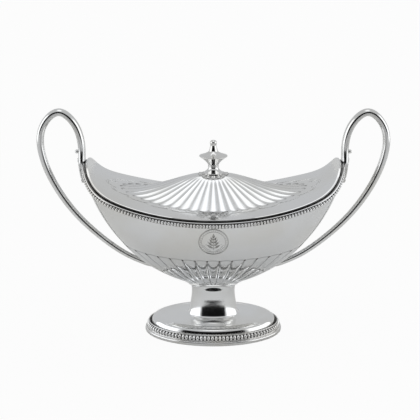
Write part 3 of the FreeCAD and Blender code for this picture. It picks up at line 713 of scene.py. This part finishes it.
# ---- Handles ----------------------------------------------------------------------------------
# Each handle is a cast and filed silver strap: four reeds on the outside of the loop and a plain inner
# face. It stands on the end of the rim, curls over, and comes back slimmer to the bowl's underside.
HANDLE_WIDTH = 0.0072
HANDLE_THICKNESS = 0.0050
HANDLE_TIP_WIDTH = 0.0044
HANDLE_TIP_THICKNESS = 0.0036
HANDLE_TO_COVER = 0.0006
COVER_INSET = 0.0015
HANDLE_ABOVE_RIM = 0.0377
HANDLE_OUT_FROM_RIM = 0.03205
HANDLE_LANDS_AT = 0.33
HANDLE_REEDS = 4
REED_DEPTH = 0.00055
WEB_SPREAD = 0.0022

riser_inner = rim_half_length - COVER_INSET + HANDLE_TO_COVER


def handle_line():
    """Middle line of the right handle: (x, z) from the rim, round the loop, to the underside."""
    foot = riser_inner + 0.5 * HANDLE_THICKNESS
    rim = rim_end_height
    top = rim + HANDLE_ABOVE_RIM - 0.5 * HANDLE_THICKNESS
    out = rim_half_length + HANDLE_OUT_FROM_RIM - 0.5 * HANDLE_THICKNESS
    riser = [(-1.2, -9.5), (-0.2, -3.0), (0.0, 3.5), (-0.1, 9.5), (0.5, 16.0), (2.6, 23.5), (7.0, 30.5)]
    loop = [(-13.6, 0.0), (-3.5, -7.2), (0.0, -18.5), (-1.5, -31.5)]
    lands = ((0.88, 0.71), (0.696, 0.55), (0.472, 0.354), (0.23, 0.178), (0.113, 0.087), (0.0, 0.014))
    points = [(foot + 0.001 * x, rim + 0.001 * z) for x, z in riser]
    points += [(out + 0.001 * x, top + 0.001 * z) for x, z in loop]
    points += [beside(end_curve, HANDLE_LANDS_AT + up * (1.0 - HANDLE_LANDS_AT), away * HANDLE_OUT_FROM_RIM)
               for up, away in lands]
    return curve_through(points, 240)


def reeded_section(width, thickness, depth):
    """(across, out, dark) round the handle: reeds over the outer half, a plain crowned inside."""
    section, per_reed, inner_steps = [], 8, 14
    for i in range(HANDLE_REEDS * per_reed + 1):
        share = 2.0 * i / (HANDLE_REEDS * per_reed) - 1.0
        across = 0.5 * width * math.sin(0.5 * math.pi * share * 0.999)
        place = HANDLE_REEDS * 0.5 * (across / (0.5 * width) + 1.0)
        ridge = abs(math.sin(math.pi * place))
        edge = max(0.0, 1.0 - abs(share) ** 5)
        base = 0.5 * thickness * (1.0 - abs(across / (0.5 * width)) ** 2.6) ** (1 / 2.6)
        # Painted reflection: the reed valleys are darkened as dark lines along the handle.
        section.append((across, base - depth * (1.0 - ridge ** 0.6) * edge, 0.85 * (1.0 - ridge) ** 2 * edge))
    for i in range(1, inner_steps):
        turn = math.pi * i / inner_steps
        across = 0.5 * width * math.cos(turn)
        section.append((across, -0.5 * thickness * math.sin(turn) ** 0.75, 0.0))
    return section


def handle(side, name):
    line = handle_line()
    rows, dark_rows = [], []
    for i, (x, z) in enumerate(line):
        x0, z0 = line[max(0, i - 1)]
        x1, z1 = line[min(len(line) - 1, i + 1)]
        size = math.hypot(x1 - x0, z1 - z0)
        out_x, out_z = (z1 - z0) / size, -(x1 - x0) / size
        share = i / (len(line) - 1)
        slim = max(0.0, share - 0.35) / 0.65
        web = WEB_SPREAD * math.exp(-((z - rim_end_height) / 0.0055) ** 2) if share < 0.3 else 0.0
        end = 1.0 - 0.35 * max(0.0, share - 0.97) / 0.03
        width = (HANDLE_WIDTH + (HANDLE_TIP_WIDTH - HANDLE_WIDTH) * slim) * end + web
        thickness = (HANDLE_THICKNESS + (HANDLE_TIP_THICKNESS - HANDLE_THICKNESS) * slim) * end
        section = reeded_section(width, thickness, REED_DEPTH * (1.0 - 0.4 * slim))
        rows.append([Vector((side * (x + out_x * out), side * -across, z + out_z * out))
                     for across, out, dark in section])
        dark_rows.append([dark for across, out, dark in section])
    return skin(name, rows, dark_rows, capped=True, crease=50.0)


cast_silver = silver("filed_cast_silver", (0.88, 0.88, 0.875), (0.78, 0.765, 0.73), 0.10, 0.09, 0.00006)
fit(handle(1, "handle_right_reeded"), cast_silver, "bowl", "cast_silver", "handle_right")
fit(handle(-1, "handle_left_reeded"), cast_silver, "bowl", "cast_silver", "handle_left")

# ---- Handle leaves and pellets ----------------------------------------------------------------
# A small cast leaf with chased veins covers the solder where each handle meets the rim, and a ball of
# silver is soldered to the handle just above its tip.
LEAF_COLUMNS = 25
LEAF_ROWS = 61
LEAF_VEINS = 6
LEAF_BODY = 0.0007
LEAF_RELIEF = 0.0006


def rim_leaf(side, node, name):
    low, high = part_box(node)
    half_width, height = high[1], high[2] - low[2]
    front = max(abs(low[0]), abs(high[0]))
    lean = (front - min(abs(low[0]), abs(high[0])) - 0.001) / height

    def veined(j, i):
        v, u = j / (LEAF_ROWS - 1), 2.0 * i / (LEAF_COLUMNS - 1) - 1.0
        lobe = abs(math.sin(math.pi * LEAF_VEINS * v))
        edge = half_width * max(0.02, math.sin(math.pi * v) ** 0.62 * (0.86 + 0.14 * lobe))
        vein = abs(math.sin(math.pi * (LEAF_VEINS * v + 0.9 * abs(u))))
        ridge = math.exp(-(u / 0.10) ** 2)
        rise = LEAF_RELIEF * (0.55 * vein * (1.0 - abs(u)) + 0.6 * ridge + 0.3 * (1.0 - u * u))
        z = low[2] + height * v
        x = front - lean * (high[2] - z) - LEAF_RELIEF * 1.2 + rise - 0.0008 * u * u
        rim_dark = 0.8 * max(0.0, abs(u) - 0.85) / 0.15
        # Painted shade: the vein grooves and the leaf's margin against the bowl are darkened.
        return Vector((side * x, u * edge, z)), min(1.0, 0.9 * (1.0 - vein) ** 2 * (1 - ridge) + rim_dark)

    rows, dark_rows = chased(range(LEAF_ROWS), LEAF_COLUMNS, veined)
    rows = [row + [point - Vector((side * LEAF_BODY, 0, 0)) for point in row[::-1]] for row in rows]
    # The leaf's back is darkened: painted shade against the bowl.
    dark_rows = [row + [0.9] * LEAF_COLUMNS for row in dark_rows]
    return skin(name, rows, dark_rows, capped=True, crease=60.0)


def turned(name, outline, centre, columns, lean=None, crease=38.0):
    """A turned piece: (radius, height) from bottom to top, spun round an upright axis and closed."""
    rows = [[Vector((centre[0] + radius * math.cos(2 * math.pi * k / columns),
                     centre[1] + radius * math.sin(2 * math.pi * k / columns), centre[2] + height))
             for k in range(columns)] for radius, height in outline]
    return skin(name, rows, lean, capped=True, crease=crease)


def pellet(node, name):
    low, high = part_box(node)
    centre = [0.5 * (low[i] + high[i]) for i in range(3)]
    radius = 0.5 * (high[1] - low[1])
    leans = [math.radians(a) for a in range(-90, 91, 10)]
    outline = [(max(0.00004, radius * math.cos(a) * (1.0 - 0.03 * math.cos(2 * a))), radius * math.sin(a))
               for a in leans]
    return turned(name, outline, centre, 28, crease=80.0)


for side, word in ((1, "right"), (-1, "left")):
    fit(rim_leaf(side, "handle_leaf_" + word, "rim_leaf_" + word), cast_silver, "bowl", "cast_silver",
        "handle_leaf_" + word)
    fit(pellet("handle_pellet_" + word, "pellet_ball_" + word), cast_silver, "bowl", "cast_silver",
        "handle_pellet_" + word)

# ---- Cover ------------------------------------------------------------------------------------
# Raised from one sheet that follows the rim's sweep. Forty-four hollow flutes are chased round its oval
# dome, from under the finial out to scalloped ends; the plain sheet outside carries bright-cut leaves.
COVER_CROWN = 0.0028
COVER_SHEET = 0.0009
DOME_HALF_LENGTH = 0.0610
DOME_HALF_WIDTH = 0.0305
DOME_RISE = 0.0170
DOME_FLAT = 0.2
FLUTES = 44
FLUTE_COLUMNS = 14
FLUTE_DEPTH = 0.00055
FLUTE_START = 0.27
FLUTE_CORNER = 0.955
FLUTE_TIP = 1.045
OUTER_ROWS = 30
HOLE_RADIUS = 0.0017
FLUTE_CARE = (0.75, 1.2)
DOME_SHOULDER = 1.3
DOME_TOP = 1.5

cover_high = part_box("cover_shell")[1]
sheet_half_length, sheet_half_width = cover_high[0], cover_high[1]
cover_edge_height = cover_high[2] - rim_end_height


def toward_edge(x, y):
    """How far out on the cover a place lies: 0 in the middle, 1 on its edge."""
    power = 2.0 + RIM_SQUARENESS
    return ((abs(x) / sheet_half_length) ** power + (abs(y) / sheet_half_width) ** power) ** (1.0 / power)


def cover_top(x, y):
    """Height of the smooth sheet's upper face, before the flutes are chased."""
    out = toward_edge(x, y)
    rise = (rim_end_height - rim_mid_height) * sheer(min(1.0, abs(x) / sheet_half_length), 1.0)
    plain = rim_mid_height + cover_edge_height + rise + COVER_CROWN * (1.0 - out * out)
    from_middle = math.hypot(x / DOME_HALF_LENGTH, y / DOME_HALF_WIDTH)
    slope = min(1.0, max(0.0, (from_middle - DOME_FLAT) / (1.0 - DOME_FLAT)))
    return plain + DOME_RISE * (1.0 - slope ** DOME_SHOULDER) ** DOME_TOP


def dome_point(turn, share):
    x, y = share * DOME_HALF_LENGTH * math.cos(turn), share * DOME_HALF_WIDTH * math.sin(turn)
    return Vector((x, y, cover_top(x, y)))


def flute_sink(share, across):
    """How deep the flutes' hollows lie under the sheet, and how dark their edges are."""
    tip = FLUTE_CORNER + (FLUTE_TIP - FLUTE_CORNER) * (1.0 - across ** 2) ** 0.5
    if share >= tip:
        return 0.0, 0.8 * math.exp(-((share - tip) / 0.007) ** 2)
    start = min(1.0, max(0.0, (share - FLUTE_START) / 0.14))
    start = start * start * (3 - 2 * start)
    end = min(1.0, (tip - share) / 0.035)
    end = (end * (2.0 - end)) ** 0.5
    width = 0.30 + 0.70 * min(1.0, share)
    ridge = max(0.0, abs(across) - 0.86) / 0.14
    edge = math.exp(-((share - tip) / 0.007) ** 2)
    return (FLUTE_DEPTH * width * start * end * (1.0 - abs(across) ** 2.0),
            min(1.0, 0.55 * ridge ** 2 * start + 0.8 * edge))


flute_turns = even_turns(lambda turn: dome_point(turn, 1.0), FLUTES, FLUTE_COLUMNS, FRONT)
hand = random.Random(11)
flute_care = [hand.uniform(*FLUTE_CARE) for i in range(FLUTES)]
shares = [*np.linspace(0.035, 0.26, 8), *np.linspace(0.29, 0.92, 34), *np.linspace(0.93, 1.06, 36)]


def fluted(share, i):
    across = 2.0 * ((i + FLUTE_COLUMNS // 2) % FLUTE_COLUMNS) / FLUTE_COLUMNS - 1.0
    sink, dark = flute_sink(share, across)
    point = dome_point(flute_turns[i], share)
    point.z -= sink * flute_care[(i + FLUTE_COLUMNS // 2) // FLUTE_COLUMNS % FLUTES]
    return point, dark


rows, dark_rows = chased(shares, len(flute_turns), fluted)
rows[0] = [Vector((HOLE_RADIUS * math.cos(turn), HOLE_RADIUS * math.sin(turn), cover_top(0.0, 0.0)))
           for turn in flute_turns]
last_oval = rows[-1]
for k in range(1, OUTER_ROWS + 1):
    row = []
    for point in last_oval:
        out = toward_edge(point.x, point.y)
        grown = 1.0 + k / OUTER_ROWS * (1.0 / out - 1.0)
        row.append(Vector((grown * point.x, grown * point.y, cover_top(grown * point.x, grown * point.y))))
    rows.append(row)
    dark_rows.append([0.0] * len(row))
upper_rows = len(rows)
under = [[point - Vector((0, 0, COVER_SHEET)) for point in row] for row in rows[::-1]]
rows += under[::2] + [under[-1]]
# The sheet's underside is darkened a little: painted shade under the cover.
dark_rows += [[0.15] * len(flute_turns)] * (len(rows) - upper_rows)
cover = skin("cover_fluted", rows, dark_rows, loop=True, crease=55.0)
cover_silver = silver("chased_cover_silver", (0.90, 0.905, 0.91), (0.84, 0.83, 0.80), 0.085, 0.07, 0.00009)
fit(cover, cover_silver, "cover", "raised_silver", "cover_shell")


def on_cover(x, y):
    """Lays a flat pattern round the cover: x is a share of the way round, y a share of the dome's size."""
    turn = float(np.interp((x % 1.0) * len(flute_turns), range(len(flute_turns) + 1),
                           flute_turns + [flute_turns[0] + 2 * math.pi]))
    point = dome_point(turn, y)
    return point + Vector((0, 0, CUT_PROUD))


swags = Cuts(on_cover)
SWAGS = 22
SWAG_OUT = 1.135
SWAG_DROOP = 0.045
SPRIG_OUT = 1.112
for i in range(SWAGS):
    start = i / SWAGS
    droop = [(start + k / 14 / SWAGS, SWAG_OUT + SWAG_DROOP * math.sin(math.pi * k / 14)) for k in range(15)]
    for line_out, width in ((0.0, 0.9), (0.022, 0.7)):
        first = len(swags.points)
        for k, (x, y) in enumerate(droop):
            half = 0.0035 * width * math.sin(math.pi * (k + 0.6) / 15.2)
            swags.points += [on_cover(x, y + line_out + half), on_cover(x, y + line_out - half)]
        swags.faces += [(first + 2 * k, first + 2 * k + 1, first + 2 * k + 3, first + 2 * k + 2)
                        for k in range(len(droop) - 1)]
    for lean, length in ((0.0, 0.020), (-0.0028, 0.016), (0.0028, 0.016)):
        edges = [(step / 8, 1) for step in range(9)] + [(step / 8, -1) for step in range(7, 0, -1)]
        swags.patch([(start + lean * (0.4 + a) + side * 0.0009 * math.sin(math.pi * a),
                      SPRIG_OUT + 1.4 * length * (a - 0.2)) for a, side in edges])
faint_cut_silver = silver("faint_cut_silver", (0.80, 0.80, 0.79), (0.70, 0.69, 0.67), 0.16, 0.10, 0.00001)
fit(swags.piece("cover_bright_cut_band"), faint_cut_silver, "cover", "raised_silver")

# ---- Cover edge and flange --------------------------------------------------------------------
# A wire is soldered round the sheet's edge and rests on the bowl's lip. Inside it, a plain flange drops
# into the bowl's mouth and keeps the cover from sliding.
edge_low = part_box("cover_edge_wire")[0][2] - rim_mid_height
sheet_inset = rim_half_length - sheet_half_length
edge_section = ((COVER_INSET + 0.0002, edge_low), (COVER_INSET, edge_low + 0.0002),
                (COVER_INSET, edge_low + 0.0007), (COVER_INSET + 0.0002, edge_low + 0.00105),
                (COVER_INSET + 0.0006, cover_edge_height), (sheet_inset, cover_edge_height),
                (sheet_inset, edge_low))
rows = [over_rim(up, inset) for inset, up in edge_section]
# Painted shadow: the lower part of the edge wire is darkened to near black for the gap over the lip.
edge = skin("cover_edge", rows, [[0.95 if up < 0.001 + edge_low * 0.8 else 0.0] * RIM_COLUMNS
                                 for inset, up in edge_section], loop=True)
fit(edge, wire_silver, "cover", "silver_wire", "cover_edge_wire")
dress(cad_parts["cover_bezel"], sheet_silver)

# ---- Finial -----------------------------------------------------------------------------------
# A turned urn in two halves: a flared foot and hollowed cup below, and a lid drawn up to a spire above,
# soldered at a sharp edge. A plate of chased leaves lies under it, and a stud, washer and nut hold it.
FINIAL_FOOT_RADIUS = 0.0067
FINIAL_NECK_RADIUS = 0.0033
FINIAL_EDGE = 0.0002
NECK_WIRE_RADIUS = 0.00045
FINIAL_COLUMNS = 96
CALYX_LEAVES = 16
CALYX_BODY = 0.0007
CALYX_RELIEF = 0.00035

urn_low, urn_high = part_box("finial_urn")
cap_low, cap_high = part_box("finial_cap")
disc_radius = urn_high[0]
cup_height = urn_high[2] - urn_low[2]
foot_rise, neck_rise = 0.0007, 0.0051
urn_foot = [(FINIAL_NECK_RADIUS + (FINIAL_FOOT_RADIUS - FINIAL_NECK_RADIUS) * (1 - k / 14) ** 2.2,
             foot_rise + (neck_rise - foot_rise) * k / 14) for k in range(1, 15)]
urn_cup = [(FINIAL_NECK_RADIUS + (disc_radius - FINIAL_NECK_RADIUS) * (k / 20) ** 1.6,
            neck_rise + (cup_height - FINIAL_EDGE - neck_rise) * k / 20) for k in range(1, 21)]
neck_wire = [(FINIAL_NECK_RADIUS + NECK_WIRE_RADIUS * math.cos(math.radians(a)),
              neck_rise - 0.0002 + NECK_WIRE_RADIUS * math.sin(math.radians(a)))
             for a in (-60, -30, 0, 30, 60)]
urn_outline = [(0.00160, 0.0), (FINIAL_FOOT_RADIUS - 0.0001, 0.0), (FINIAL_FOOT_RADIUS, 0.0002),
               (FINIAL_FOOT_RADIUS, foot_rise - 0.0001)]
urn_outline += urn_foot[:-2] + neck_wire + urn_cup[2:] + [(disc_radius, cup_height), (0.0001, cup_height)]
urn = turned("finial_urn_turned", urn_outline, (0.0, 0.0, urn_low[2]), FINIAL_COLUMNS)
fit(urn, cast_silver, "cover", "cast_silver", "finial_urn")

cap_height = cap_high[2] - cap_low[2]
cap_dish = [(0.0029 + (disc_radius - 0.0029) * (1 - k / 18) ** 1.8, FINIAL_EDGE + 0.0037 * k / 18)
            for k in range(1, 19)]
spire = curve_through([(0.0029, 0.0039), (0.00235, cap_height - 0.0050), (0.0021, cap_height - 0.0035),
                       (0.00235, cap_height - 0.0020), (0.0021, cap_height - 0.0009),
                       (0.0012, cap_height - 0.0002), (0.0001, cap_height)], 30)
cap_outline = [(0.0001, 0.0), (disc_radius - 0.00005, 0.0), (disc_radius, 0.00005),
               (disc_radius, FINIAL_EDGE)]
cap_outline += cap_dish[:-1] + spire
cap_outline = [(max(0.00005, radius), min(height, cap_height)) for radius, height in cap_outline]
cap = turned("finial_cap_turned", cap_outline, (0.0, 0.0, cap_low[2]), FINIAL_COLUMNS)
fit(cap, cast_silver, "cover", "cast_silver", "finial_cap")

calyx_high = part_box("finial_calyx")[1]
calyx_columns = CALYX_LEAVES * 14


def leafed(share, k):
    turn = 2 * math.pi * k / calyx_columns
    leaf = abs(math.cos(0.5 * CALYX_LEAVES * turn))
    reach = share * (1.0 - 0.16 * (1.0 - leaf) ** 1.3 * max(0.0, (share - 0.5) / 0.5))
    x, y = reach * calyx_high[0] * math.cos(turn), reach * calyx_high[1] * math.sin(turn)
    body = CALYX_BODY * (1.0 - 0.75 * share ** 5)
    relief = CALYX_RELIEF * max(0.0, share - 0.5) * 2 * (leaf ** 0.7 + 0.5 * leaf ** 14 - 0.6)
    under_urn = urn_low[2] - 0.00005 if share < 0.64 else urn_low[2] + 0.0002
    # Painted shade: the gaps between the leaves and the plate's rim are darkened.
    dark = 0.95 * (1.0 - leaf) ** 2 * min(1.0, max(0.0, share - 0.45) * 4) + (0.6 if share == 1.0 else 0.0)
    return Vector((x, y, min(under_urn, cover_top(x, y) + body + relief))), min(1.0, dark)


calyx_shares = (0.17, 0.4, 0.55, 0.66, 0.72, 0.78, 0.84, 0.89, 0.94, 0.97, 1.0)
rows, dark_rows = chased(calyx_shares, calyx_columns, leafed)
# The plate's edge band down to the cover is darkened: painted shade under the leaves.
rows += [[Vector((p.x, p.y, cover_top(p.x, p.y) - 0.0003)) for p in row] for row in (rows[-1], rows[0])]
dark_rows += [[0.9] * calyx_columns] * 2
calyx = skin("finial_leaf_plate", rows, dark_rows, loop=True, crease=60.0)
fit(calyx, cast_silver, "cover", "cast_silver", "finial_calyx")

hardware_silver = silver("dull_hardware_silver", (0.72, 0.70, 0.66), (0.55, 0.52, 0.47), 0.28, 0.14, 0.00002)
for node in ("finial_stud", "finial_washer", "finial_nut"):
    dress(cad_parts[node], hardware_silver)

# ---- Floor, light and camera ------------------------------------------------------------------
# A plain white table that runs on behind, soft white panels to the left, the right and overhead, and
# the dark of the room in front, as silver is photographed.
FLOOR_HALF = 8.0
PAPER_FRONT = 0.22
PAPER_SIDE = 0.32
PAPER_GLOW = 0.96
floor_mesh = bpy.data.meshes.new("floor")
corners = [(x * FLOOR_HALF, y * FLOOR_HALF, -0.0001) for x, y in ((-1, -1), (1, -1), (1, 1), (-1, 1))]
floor_mesh.from_pydata(corners, [], [(0, 1, 2, 3)])
floor = bpy.data.objects.new("floor", floor_mesh)
bpy.context.scene.collection.objects.link(floor)
paper = bpy.data.materials.new("white_paper")
paper.use_nodes = True
nodes, links = paper.node_tree.nodes, paper.node_tree.links
nodes.clear()
out = nodes.new("ShaderNodeOutputMaterial")
seen = nodes.new("ShaderNodeLightPath")
lit = nodes.new("ShaderNodeBsdfDiffuse")
lit.inputs["Color"].default_value = (0.88, 0.875, 0.86, 1)
glow = nodes.new("ShaderNodeEmission")
glow.inputs["Color"].default_value = (0.99, 0.99, 0.99, 1)
mix = nodes.new("ShaderNodeMixShader")
place = nodes.new("ShaderNodeTexCoord")
axes = nodes.new("ShaderNodeSeparateXYZ")
links.new(place.outputs["Object"], axes.inputs[0])


def both(first, second, how="MULTIPLY"):
    """Two values or numbers joined by one step of arithmetic, in the nodes at hand."""
    joined = nodes.new("ShaderNodeMath")
    joined.operation = how
    for socket, value in zip(joined.inputs, (first, second)):
        if isinstance(value, float):
            socket.default_value = value
        else:
            links.new(value, socket)
    return joined.outputs[0]


side_edge = both(both(axes.outputs["Y"], 0.0, "MAXIMUM"), PAPER_SIDE, "ADD")
past_side = both(both(axes.outputs["X"], 0.0, "ABSOLUTE"), side_edge, "GREATER_THAN")
past_front = both(axes.outputs["Y"], -PAPER_FRONT, "LESS_THAN")
past_paper = both(past_side, past_front, "MAXIMUM")
room = nodes.new("ShaderNodeBsdfTransparent")
laid = nodes.new("ShaderNodeMixShader")
links.new(past_paper, laid.inputs[0])
links.new(lit.outputs[0], laid.inputs[1])
links.new(room.outputs[0], laid.inputs[2])
links.new(both(seen.outputs["Is Camera Ray"], PAPER_GLOW), mix.inputs[0])
links.new(laid.outputs[0], mix.inputs[1])
links.new(glow.outputs[0], mix.inputs[2])
links.new(mix.outputs[0], out.inputs["Surface"])
floor.data.materials.append(paper)

studio = bpy.data.worlds.new("studio")
bpy.context.scene.world = studio
studio.use_nodes = True
nodes, links = studio.node_tree.nodes, studio.node_tree.links
toward = nodes.new("ShaderNodeTexCoord")
axes = nodes.new("ShaderNodeSeparateXYZ")
links.new(toward.outputs["Generated"], axes.inputs[0])
sideways = both(axes.outputs["X"], 0.0, "ABSOLUTE")


def ramp_up(value, low, high):
    span = nodes.new("ShaderNodeMapRange")
    span.interpolation_type = "SMOOTHSTEP"
    span.inputs["From Min"].default_value = low
    span.inputs["From Max"].default_value = high
    links.new(value, span.inputs["Value"])
    return span.outputs["Result"]


def window(value, low, high, soft):
    return both(ramp_up(value, low - soft, low + soft),
                both(1.0, ramp_up(value, high - soft, high + soft), "SUBTRACT"))


ROOM_LIGHT = 0.56
OVERHEAD_LIGHT = 0.62
OVERHEAD_UP = (0.82, 0.90)
OVERHEAD_ACROSS = (0.10, 0.32)
PANEL_LIGHT = 0.85
PANEL_AHEAD = (-0.42, 0.62)
PANEL_HEIGHT = (-0.2, 0.56)
PANEL_SOFT = 0.05
DARK_SHARE = 0.99
DARK_AHEAD = (0.67, 0.74)
DARK_TOP = (0.42, 0.60)
DARK_FOOT = (-0.16, -0.12)
height = axes.outputs["Z"]
level_square = both(both(axes.outputs["X"], axes.outputs["X"]), both(axes.outputs["Y"], axes.outputs["Y"]),
                    "ADD")
ahead = both(both(axes.outputs["Y"], both(level_square, 0.5, "POWER"), "DIVIDE"), -1.0)
overhead = both(ramp_up(height, *OVERHEAD_UP), both(1.0, ramp_up(sideways, *OVERHEAD_ACROSS), "SUBTRACT"))
overhead = both(overhead, OVERHEAD_LIGHT)
panels = both(both(window(ahead, *PANEL_AHEAD, PANEL_SOFT), window(height, *PANEL_HEIGHT, PANEL_SOFT)),
              PANEL_LIGHT)
dark = both(ramp_up(ahead, *DARK_AHEAD), both(1.0, ramp_up(height, *DARK_TOP), "SUBTRACT"))
dark = both(dark, ramp_up(height, *DARK_FOOT))
level = both(both(ROOM_LIGHT, overhead, "ADD"), panels, "ADD")
level = both(level, both(1.0, both(dark, DARK_SHARE), "SUBTRACT"))
background = nodes["Background"]
background.inputs["Color"].default_value = (0.97, 0.985, 1.0, 1.0)
links.new(level, background.inputs["Strength"])
backdrop = nodes.new("ShaderNodeBackground")
backdrop.inputs["Color"].default_value = (0.97, 0.97, 0.97, 1.0)
seen = nodes.new("ShaderNodeLightPath")
shown = nodes.new("ShaderNodeMixShader")
links.new(seen.outputs["Is Camera Ray"], shown.inputs[0])
links.new(background.outputs[0], shown.inputs[1])
links.new(backdrop.outputs[0], shown.inputs[2])
links.new(shown.outputs[0], nodes["World Output"].inputs["Surface"])

camera = bpy.data.objects.new("camera", bpy.data.cameras.new("camera"))
bpy.context.scene.collection.objects.link(camera)
CAMERA_BACK = 0.800
CAMERA_HEIGHT = 0.30709
CAMERA_LEFT = 0.0023
CAMERA_TILT = 15.388
CAMERA_LENS = 103.18
camera.location = (-CAMERA_LEFT, -CAMERA_BACK, CAMERA_HEIGHT)
camera.rotation_euler = (math.radians(90.0 - CAMERA_TILT), 0.0, 0.0)
camera.data.lens = CAMERA_LENS
camera.data.clip_start, camera.data.clip_end = 0.01, 60.0
bpy.context.scene.camera = camera
bpy.context.scene.view_settings.view_transform = "Standard"
